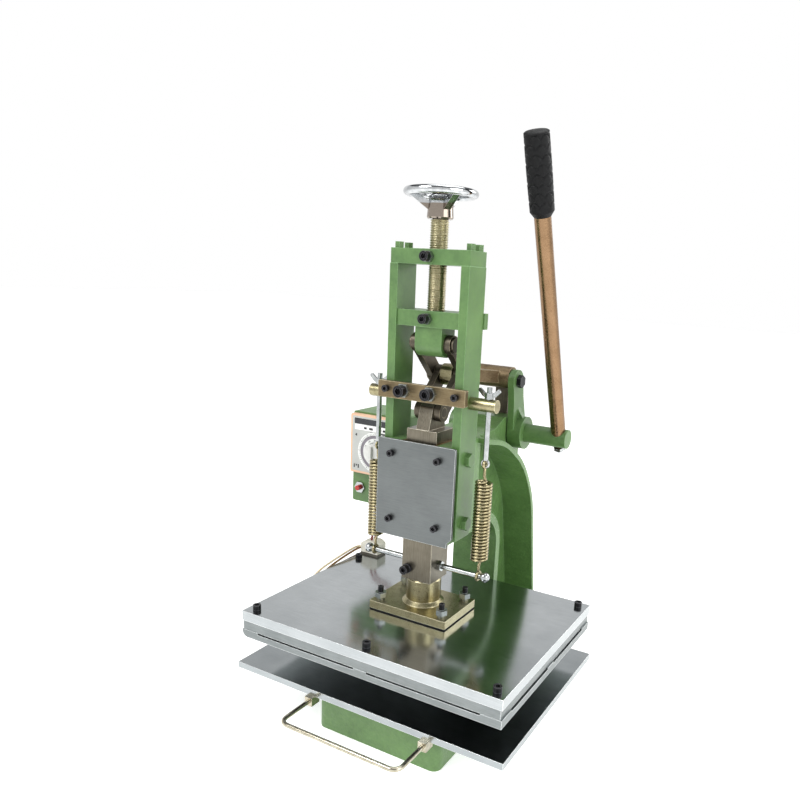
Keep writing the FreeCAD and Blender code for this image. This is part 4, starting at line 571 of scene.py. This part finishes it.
def wire(points, radius, tone, sides=12):
    """Bmesh of a round wire along the points."""
    return grow(WIRE, {"Radius": radius, "Sides": sides, "Finish": FINISHES[tone]}, points)


# Spindle: a thread with flat crests from its foot up to the handwheel's hub, then a neck
SPINDLE_RADIUS = 11.9 * MM
SPINDLE_NECK = 8 * MM
SPINDLE_PITCH = 3 * MM
SPINDLE_SIDES = 56
THREAD_DEPTH = 1.3 * MM
THREAD_ROWS = 10
THREAD_ROOT = 0.12
THREAD_FLANK = 0.7
HUB_GAP = 0.3 * MM
END_ROUNDING = 1.4 * MM
FOOT_TAPER = 2.2 * MM
HEAD_TAPER = 1.5 * MM
HEAD_LEAST = 0.35
FOOT_POINT = 0.4 * MM
NECK_CHAMFER = 1 * MM


def thread_radius(height, turn):
    """Radius of the thread: its root, its flank or its crest."""
    phase = (height / SPINDLE_PITCH - turn) % 1.0
    ridge = 1 - abs(2 * phase - 1)
    crest = min(max((ridge - THREAD_ROOT) / THREAD_FLANK, 0.0), 1.0)
    return SPINDLE_RADIUS - THREAD_DEPTH * (1 - crest)


def threaded_spindle():
    """Spindle with its thread cut, in place of the plain CAD bar."""
    low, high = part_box("spindle")
    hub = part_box("handwheel")[0][2]
    step = SPINDLE_PITCH / THREAD_ROWS
    rows = int((hub - HUB_GAP - low[2]) / step)
    turns = [index / SPINDLE_SIDES for index in range(SPINDLE_SIDES)]

    def circle(radius, height):
        return [polar(radius, turn, height) for turn in turns]

    rings = [circle(FOOT_POINT, low[2])]
    for row in range(rows + 1):
        height = low[2] + row * step
        end = min(1.0, row * step / FOOT_TAPER, (rows - row) * step / HEAD_TAPER + HEAD_LEAST)
        rings.append([polar(thread_radius(height, turn) - END_ROUNDING * (1 - end), turn, height)
                      for turn in turns])
    rings += [circle(SPINDLE_NECK, low[2] + rows * step),
              circle(SPINDLE_NECK, high[2] - NECK_CHAMFER),
              circle(SPINDLE_NECK - NECK_CHAMFER, high[2])]
    mesh = bmesh.new()
    skin_rings(mesh, rings)
    smooth(mesh, TURNED_CREASE)
    piece = new_piece("threaded_spindle", mesh, "gold", "spindle")
    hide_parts("spindle")


# Return springs: the coil, and the hook and the eye that its ends are bent into
SPRING_WIRE = 4.0 * MM
SPRING_RADIUS = 10.1 * MM
SPRING_TURNS = 25
SPRING_STEPS = 28
SPRING_TOP = 0.368
SPRING_FOOT = 0.256
SPRING_LEAST = 0.25
HOOK_RADIUS = 5.8 * MM
HOOK_START = -250
HOOK_LEG = 7 * MM
EYE_RADIUS = 4.6 * MM
EYE_START = -90
EYE_LEG = 6 * MM
END_SWEEP = 340
END_STEPS = 24


def bent_end(x, height, radius, start):
    """Points of a hook or an eye, most of a turn in the upright plane at x."""
    angles = [math.radians(start + END_SWEEP * step / END_STEPS) for step in range(END_STEPS + 1)]
    return [Vector((x, radius * math.cos(angle), height + radius * math.sin(angle)))
            for angle in angles]


def spring_line(x):
    """Centre line of one spring, whose first and last turns draw in towards its ends."""
    steps = SPRING_TURNS * SPRING_STEPS
    coil = []
    for step in range(steps + 1):
        ease = min(1.0, step / SPRING_STEPS, (steps - step) / SPRING_STEPS)
        swell = math.sin(min(ease * 2, 1) * math.pi / 2)
        coil.append(polar(SPRING_RADIUS * (SPRING_LEAST + (1 - SPRING_LEAST) * swell),
                          step / SPRING_STEPS,
                          SPRING_FOOT + (SPRING_TOP - SPRING_FOOT) * step / steps, (x, 0.0)))
    return (bent_end(x, SPRING_PIN_Z, HOOK_RADIUS, HOOK_START)
            + [Vector((x, 0, SPRING_FOOT - HOOK_LEG))] + coil
            + [Vector((x, 0, SPRING_TOP + EYE_LEG))]
            + bent_end(x, SPRING_EYE_Z, EYE_RADIUS, EYE_START))


def springs():
    """Wound return springs, hooked round the ram's pins and through the rods' eyes."""
    for name, x in (("left", -SPRING_X), ("right", SPRING_X)):
        mesh = wire(spring_line(x), SPRING_WIRE / 2, "spring", sides=10)
        piece = new_piece(f"return_spring_{name}", mesh, "spring", None)
        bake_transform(piece)
        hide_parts(f"spring_{name}")


def smooth_route(points):
    """Points read from the smooth line that has the route's points as its controls."""
    curve = bpy.data.curves.new("route", "CURVE")
    curve.dimensions = "3D"
    curve.resolution_u = 20
    line = curve.splines.new("NURBS")
    line.points.add(len(points) - 1)
    for control, place in zip(line.points, points):
        control.co = (*place, 1.0)
    line.order_u = 3
    line.use_endpoint_u = True
    item = shown("route", curve)
    data = bpy.data.meshes.new_from_object(item)
    places = [vertex.co.copy() for vertex in data.vertices]
    bpy.data.objects.remove(item)
    bpy.data.meshes.remove(data)
    return places


def leads():
    """Two leads that hang between the box and the terminal, and the heater's sleeved ends."""
    for name, route in zip(("front", "back"), LEAD_ROUTES):
        line = smooth_route(route)
        mesh = wire(line, LEAD_SIZE / 2, "lead")
        piece = new_piece(f"heater_lead_{name}", mesh, "lead", None)
        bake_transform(piece)
        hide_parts("heater_leads")
    for (name, length, route), tone in zip(SLEEVE_ROUTES, ("sleeve", "sleeve_brown")):
        line = smooth_route(route)
        mesh = wire(line, SLEEVE_SIZE / 2, tone)
        piece = new_piece(name, mesh, tone, "ram")


# Controller's face, drawn flat from the dial's centre. A plate is its low and high corner, its
# thickness and its corners' radius; a ring is its inner and outer radius and its thickness. OUT
# is how far a layer's back, or the middle of a mark or the arrow, stands out from the CAD face.
PLATE = ((-0.0446, -0.0346), (0.0446, 0.0546), 2.2 * MM, 2 * MM)
WINDOW = ((-0.0405, 0.0425), (0.0405, 0.0515), 0.5 * MM, 1 * MM)
LABEL = ((-0.0395, 0.0330), (0.0405, 0.0420), 0.5 * MM, 1 * MM)
SLOT = ((-0.010, 0.0300), (0.0405, 0.0322), 0.4 * MM, 0.4 * MM)
OUTER_RING = (0.0275, 0.0325, 1.2 * MM)
BAND_RING = (0.0225, 0.0275, 0.7 * MM)
INNER_RING = (0.0165, 0.0225, 0.9 * MM)
PLATE_OUT = -2.0 * MM
LAYER_OUT = 0.2 * MM
RING_SIDES = 96
RING_CHAMFER = 0.15 * MM
CORNER_STEP = 15
CORNER_POINTS = 7
PRINT_THICK = 0.3 * MM
PRINT_CORNER = 0.2 * MM
BAR_STARTS = (-0.022, -0.012, 0.002, 0.014, 0.026)
BAR_LOW, BAR_HIGH = 0.0352, 0.0385
BAR_LEAST, BAR_MORE = 0.005, 0.002
BAR_OUT = 0.7 * MM
MARK_COUNT, MARK_RADIUS, MARK_SIZE = 60, 0.0292, (2.2 * MM, 0.35 * MM, 0.3 * MM)
LONG_COUNT, LONG_RADIUS, LONG_SIZE = 12, 0.0298, (3.8 * MM, 0.6 * MM, 0.3 * MM)
MARK_OUT = 1.4 * MM
FIGURE_COUNT = 9
FIGURE_STEP = 50
FIGURE_START = 225
FIGURE_SWEEP = 33.75
FIGURE_RADIUS = 0.0195
FIGURE_SIZE = 3.6 * MM
FIGURE_HALF = 0.1 * MM
FIGURE_OUT = 1.05 * MM
ARROW_PLACE = (-0.037, 0.0245, 0)
ARROW_RADIUS = 2.6 * MM
ARROW_THICK = 0.5 * MM
ARROW_OUT = 0.4 * MM
LOW_MARK = ((-0.041, -0.030), (-0.039, -0.024))
LOW_MARK_COUNT = 3
LOW_MARK_STEP = 0.004
LOW_MARK_RISE = 0.003
LOW_MARK_OUT = 0.3 * MM


def flat_ring(inner, outer, thick):
    """Flat ring with a small chamfer on its front."""
    mesh = bmesh.new()
    profile = [(inner, 0), (outer, 0), (outer, thick - RING_CHAMFER),
               (outer - RING_CHAMFER, thick), (inner + RING_CHAMFER, thick),
               (inner, thick - RING_CHAMFER)]
    rows = [[mesh.verts.new(polar(radius, index / RING_SIDES, z)) for radius, z in profile]
            for index in range(RING_SIDES)]
    for here, there in zip(rows, rows[1:] + rows[:1]):
        for at in range(len(profile)):
            after = (at + 1) % len(profile)
            mesh.faces.new((here[at], there[at], there[after], here[after]))
    smooth(mesh, PANEL_CREASE)
    return mesh


def plate(low, high, thick, corner):
    """Thin plate with round corners, drawn flat between its low and its high corner."""
    corners = ((high[0] - corner, high[1] - corner, 0), (low[0] + corner, high[1] - corner, 90),
               (low[0] + corner, low[1] + corner, 180), (high[0] - corner, low[1] + corner, 270))
    mesh = bmesh.new()
    skin_rings(mesh, [[polar(corner, (start + CORNER_STEP * step) / 360, z, (x, y))
                       for x, y, start in corners for step in range(CORNER_POINTS)]
                      for z in (0, thick)])
    smooth(mesh, PANEL_CREASE)
    return mesh


def panel_piece(name, mesh, tone, out):
    """Piece of the controller's face, stood upright that far out from the CAD face."""
    mesh.transform(Matrix.Translation(Vector((PANEL_X, PANEL_FACE - out, DIAL_Z)))
                   @ Matrix.Rotation(math.pi / 2, 4, "X"))
    return new_piece(name, mesh, tone, "frame")


def joined(meshes):
    """One bmesh that holds all of them."""
    whole = bmesh.new()
    for mesh in meshes:
        data = bpy.data.meshes.new("part")
        mesh.to_mesh(data)
        mesh.free()
        whole.from_mesh(data)
        bpy.data.meshes.remove(data)
    return whole


def figure(text, place, turn):
    """A number in raised print."""
    curve = bpy.data.curves.new("figure", "FONT")
    curve.body = text
    curve.size = FIGURE_SIZE
    curve.extrude = FIGURE_HALF
    curve.resolution_u = 3
    curve.align_x = "CENTER"
    curve.align_y = "CENTER"
    item = shown("figure", curve)
    data = bpy.data.meshes.new_from_object(item)
    bpy.data.objects.remove(item)
    mesh = bmesh.new()
    mesh.from_mesh(data)
    bpy.data.meshes.remove(data)
    mesh.transform(Matrix.Translation(Vector((*place, FIGURE_HALF)))
                   @ Matrix.Rotation(turn, 4, "Z"))
    return mesh


def scale_figures():
    """The dial's numbers, which stand round the inner ring with their feet to its centre."""
    figures = []
    for at in range(FIGURE_COUNT):
        turn = math.radians(FIGURE_START - FIGURE_SWEEP * at)
        place = (FIGURE_RADIUS * math.cos(turn), FIGURE_RADIUS * math.sin(turn))
        figures.append(figure(str(FIGURE_STEP * at), place, turn - math.pi / 2))
    return joined(figures)


def arrow():
    """Printed triangle."""
    mesh = bmesh.new()
    bmesh.ops.create_cone(mesh, cap_ends=True, segments=3, radius1=ARROW_RADIUS,
                          radius2=ARROW_RADIUS, depth=ARROW_THICK,
                          matrix=Matrix.Translation(ARROW_PLACE)
                          @ Matrix.Rotation(math.pi / 2, 4, "Z"))
    return mesh


def dial_marks(count, radius, size):
    """Printed marks of one size round the dial."""
    return grow(MARKS, {"Count": count, "Radius": radius, "Mark": size,
                        "Finish": FINISHES["ink"]})


def controller_face():
    """Face of the temperature controller: plate, window, label, scale rings and print."""
    panel_piece("panel_plate", plate(*PLATE), "panel", PLATE_OUT)
    panel_piece("panel_window", plate(*WINDOW), "window", LAYER_OUT)
    panel_piece("panel_label", plate(*LABEL), "label", LAYER_OUT)
    bars = [plate((x, BAR_LOW), (x + BAR_LEAST + BAR_MORE * (at % 3), BAR_HIGH), PRINT_THICK,
                  PRINT_CORNER) for at, x in enumerate(BAR_STARTS)]
    panel_piece("panel_label_bars", joined(bars), "ink", BAR_OUT)
    panel_piece("panel_slot", plate(*SLOT), "window", LAYER_OUT)
    panel_piece("scale_ring", flat_ring(*OUTER_RING), "ring", LAYER_OUT)
    panel_piece("scale_band", flat_ring(*BAND_RING), "scale", LAYER_OUT)
    panel_piece("scale_inner_ring", flat_ring(*INNER_RING), "ring", LAYER_OUT)
    marks = [dial_marks(MARK_COUNT, MARK_RADIUS, MARK_SIZE),
             dial_marks(LONG_COUNT, LONG_RADIUS, LONG_SIZE)]
    panel_piece("scale_marks", joined(marks), "ink", MARK_OUT)
    panel_piece("scale_figures", scale_figures(), "ink", FIGURE_OUT)
    panel_piece("panel_arrow", arrow(), "ink", ARROW_OUT)
    (left, low), (right, high) = LOW_MARK
    low_marks = [plate((left + LOW_MARK_STEP * at, low + LOW_MARK_RISE * (at % 2)),
                       (right + LOW_MARK_STEP * at, high), PRINT_THICK, PRINT_CORNER)
                 for at in range(LOW_MARK_COUNT)]
    panel_piece("panel_low_marks", joined(low_marks), "window", LOW_MARK_OUT)


# Rubber grip: rows of overlapping scales, each row half a scale round from the last
GRIP_LENGTH = 0.100
GRIP_RADIUS = 0.0156
GRIP_BELLY = 0.03
GRIP_END = 0.72
GRIP_SIDES = 84
GRIP_ROWS = 150
FOOT_ROWS = 10
TIP_ROWS = 4
TIP_LEAST = 0.55
SCALES_ROUND = 7
SCALE_ROWS = 9
SCALE_TIP = 0.75
SCALE_CURVE = 1.9
GROOVE_DEPTH = 1.3 * MM
GROOVE_SHARPNESS = 6
GROOVED = (0.1, 0.97)


def groove(along, turn):
    """Depth of the groove that draws the scales, at a share of the length and of a turn."""
    level = along * SCALE_ROWS
    band = int(level)
    across = (turn * SCALES_ROUND + 0.5 * (band % 2)) % 1.0 - 0.5
    off_line = level - band - (SCALE_TIP - SCALE_CURVE * across * across)
    return GROOVE_DEPTH * max(0.0, 1 - abs(off_line) * GROOVE_SHARPNESS)


def scaled_grip():
    """Rubber grip on the end of the lever, in place of the plain CAD sleeve."""
    rings = []
    for row in range(GRIP_ROWS + 1):
        along = row / GRIP_ROWS
        shoulder = min(1.0, along * GRIP_ROWS / FOOT_ROWS,
                       (1 - along) * GRIP_ROWS / TIP_ROWS + TIP_LEAST)
        round_out = 1 + GRIP_BELLY * math.sin(math.pi * along)
        plain = GRIP_RADIUS * round_out * (GRIP_END + (1 - GRIP_END) * shoulder)
        grooved = GROOVED[0] < along < GROOVED[1]
        height = LEVER_LENGTH - GRIP_LENGTH + GRIP_LENGTH * along
        rings.append([polar(plain - (groove(along, index / GRIP_SIDES) if grooved else 0.0),
                            index / GRIP_SIDES, height) for index in range(GRIP_SIDES)])
    mesh = bmesh.new()
    skin_rings(mesh, rings)
    mesh.transform(Matrix.Translation(Vector((LEVER_X, SHAFT_Y, SHAFT_Z)))
                   @ Matrix.Rotation(LEVER_LEAN, 4, "X"))
    smooth(mesh, TURNED_CREASE)
    piece = new_piece("scaled_grip", mesh, "rubber", "crank")
    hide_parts("lever_grip")


# Studio: half the floor's side, its glow, the soft boxes and the room that metal mirrors
FLOOR_HALF = 14.0
FLOOR_GLOW = 0.55
# name, place, side, watts, and the point that it faces
LIGHTS = [("key_light", (-0.9, -1.6, 2.2), 1.2, 42, (0, 0, 0.35)),
          ("fill_light", (2.0, -0.4, 1.3), 1.4, 22, (0, 0.1, 0.3)),
          ("top_light", (0.1, 0.5, 2.6), 1.6, 24, (0, 0.1, 0.3)),
          ("rim_light", (1.2, 1.8, 1.4), 1.0, 14, (0, 0.1, 0.4))]
ROOM = [(0.0, "#FFFFFF"), (0.50, "#FFFFFF"), (0.58, "#3A3C3E"), (0.88, "#A4A6A8")]


def studio_floor():
    """White sweep of paper that glows a little, so that it stays white in shadow."""
    far = FLOOR_HALF
    data = bpy.data.meshes.new("studio_floor")
    data.from_pydata([(-far, -far, 0), (far, -far, 0), (far, far, 0), (-far, far, 0)], [],
                     [(0, 1, 2, 3)])
    floor = shown("studio_floor", data)
    # matt paper: an even white with no highlights
    paper = finish("white studio paper", [(0.3, "#F6F6F5"), (0.7, "#FAFAF9")], cloud=0.8,
                   rough=(0.7, 0.8))
    give(paper.node_tree, paper.node_tree.nodes["Principled BSDF"],
         {"Emission Color": (1, 1, 1, 1), "Emission Strength": FLOOR_GLOW})
    data.materials.append(paper)


def studio_light():
    """Soft boxes, and a room that is white below and dark above, for the metal to mirror."""
    for name, place, size, power, target in LIGHTS:
        light = bpy.data.lights.new(name, "AREA")
        light.energy = power
        light.size = size
        item = shown(name, light)
        item.location = place
        item.rotation_mode = "QUATERNION"
        item.rotation_quaternion = (Vector(target) - Vector(place)).to_track_quat("-Z", "Y")
    world = bpy.data.worlds.new("studio")
    bpy.context.scene.world = world
    world.use_nodes = True
    tree = world.node_tree
    ways = add(tree, "ShaderNodeTexCoord").outputs["Generated"]
    height = add(tree, "ShaderNodeSeparateXYZ", {"Vector": ways}).outputs["Z"]
    room = add(tree, "ShaderNodeValToRGB", {"Fac": height}, ROOM)
    give(tree, tree.nodes["Background"], {"Color": room.outputs["Color"], "Strength": 1.0})
    bpy.context.scene.view_settings.view_transform = "Standard"


def photo_camera():
    """Camera that stands and looks as the photo's did."""
    turn = Matrix.Rotation(-CAMERA_YAW, 3, "Z")
    nod = Matrix.Rotation(CAMERA_PITCH, 3, "X")
    upright = Matrix(((1, 0, 0), (0, 0, -1), (0, 1, 0)))
    tilt = Matrix.Rotation(CAMERA_ROLL, 3, "Z")
    right, down, ahead = tilt @ upright @ nod @ turn
    looks = Matrix((right, -down, -ahead)).transposed()
    data = bpy.data.cameras.new("photo_camera")
    data.lens = FOCAL_PIXELS / PHOTO_SIDE * SENSOR_WIDTH
    data.sensor_width = SENSOR_WIDTH
    data.shift_x = (PHOTO_SIDE / 2 - AHEAD_PIXEL[0]) / PHOTO_SIDE
    data.shift_y = (AHEAD_PIXEL[1] - PHOTO_SIDE / 2) / PHOTO_SIDE
    data.clip_start, data.clip_end = 0.01, 50
    item = shown("photo_camera", data)
    item.matrix_world = Matrix.Translation(Vector(CAMERA_PLACE)) @ looks.to_4x4()
    bpy.context.scene.camera = item


photo_camera()
leads()
dress_nodes()
threaded_spindle()
springs()
controller_face()
scaled_grip()
studio_floor()
studio_light()
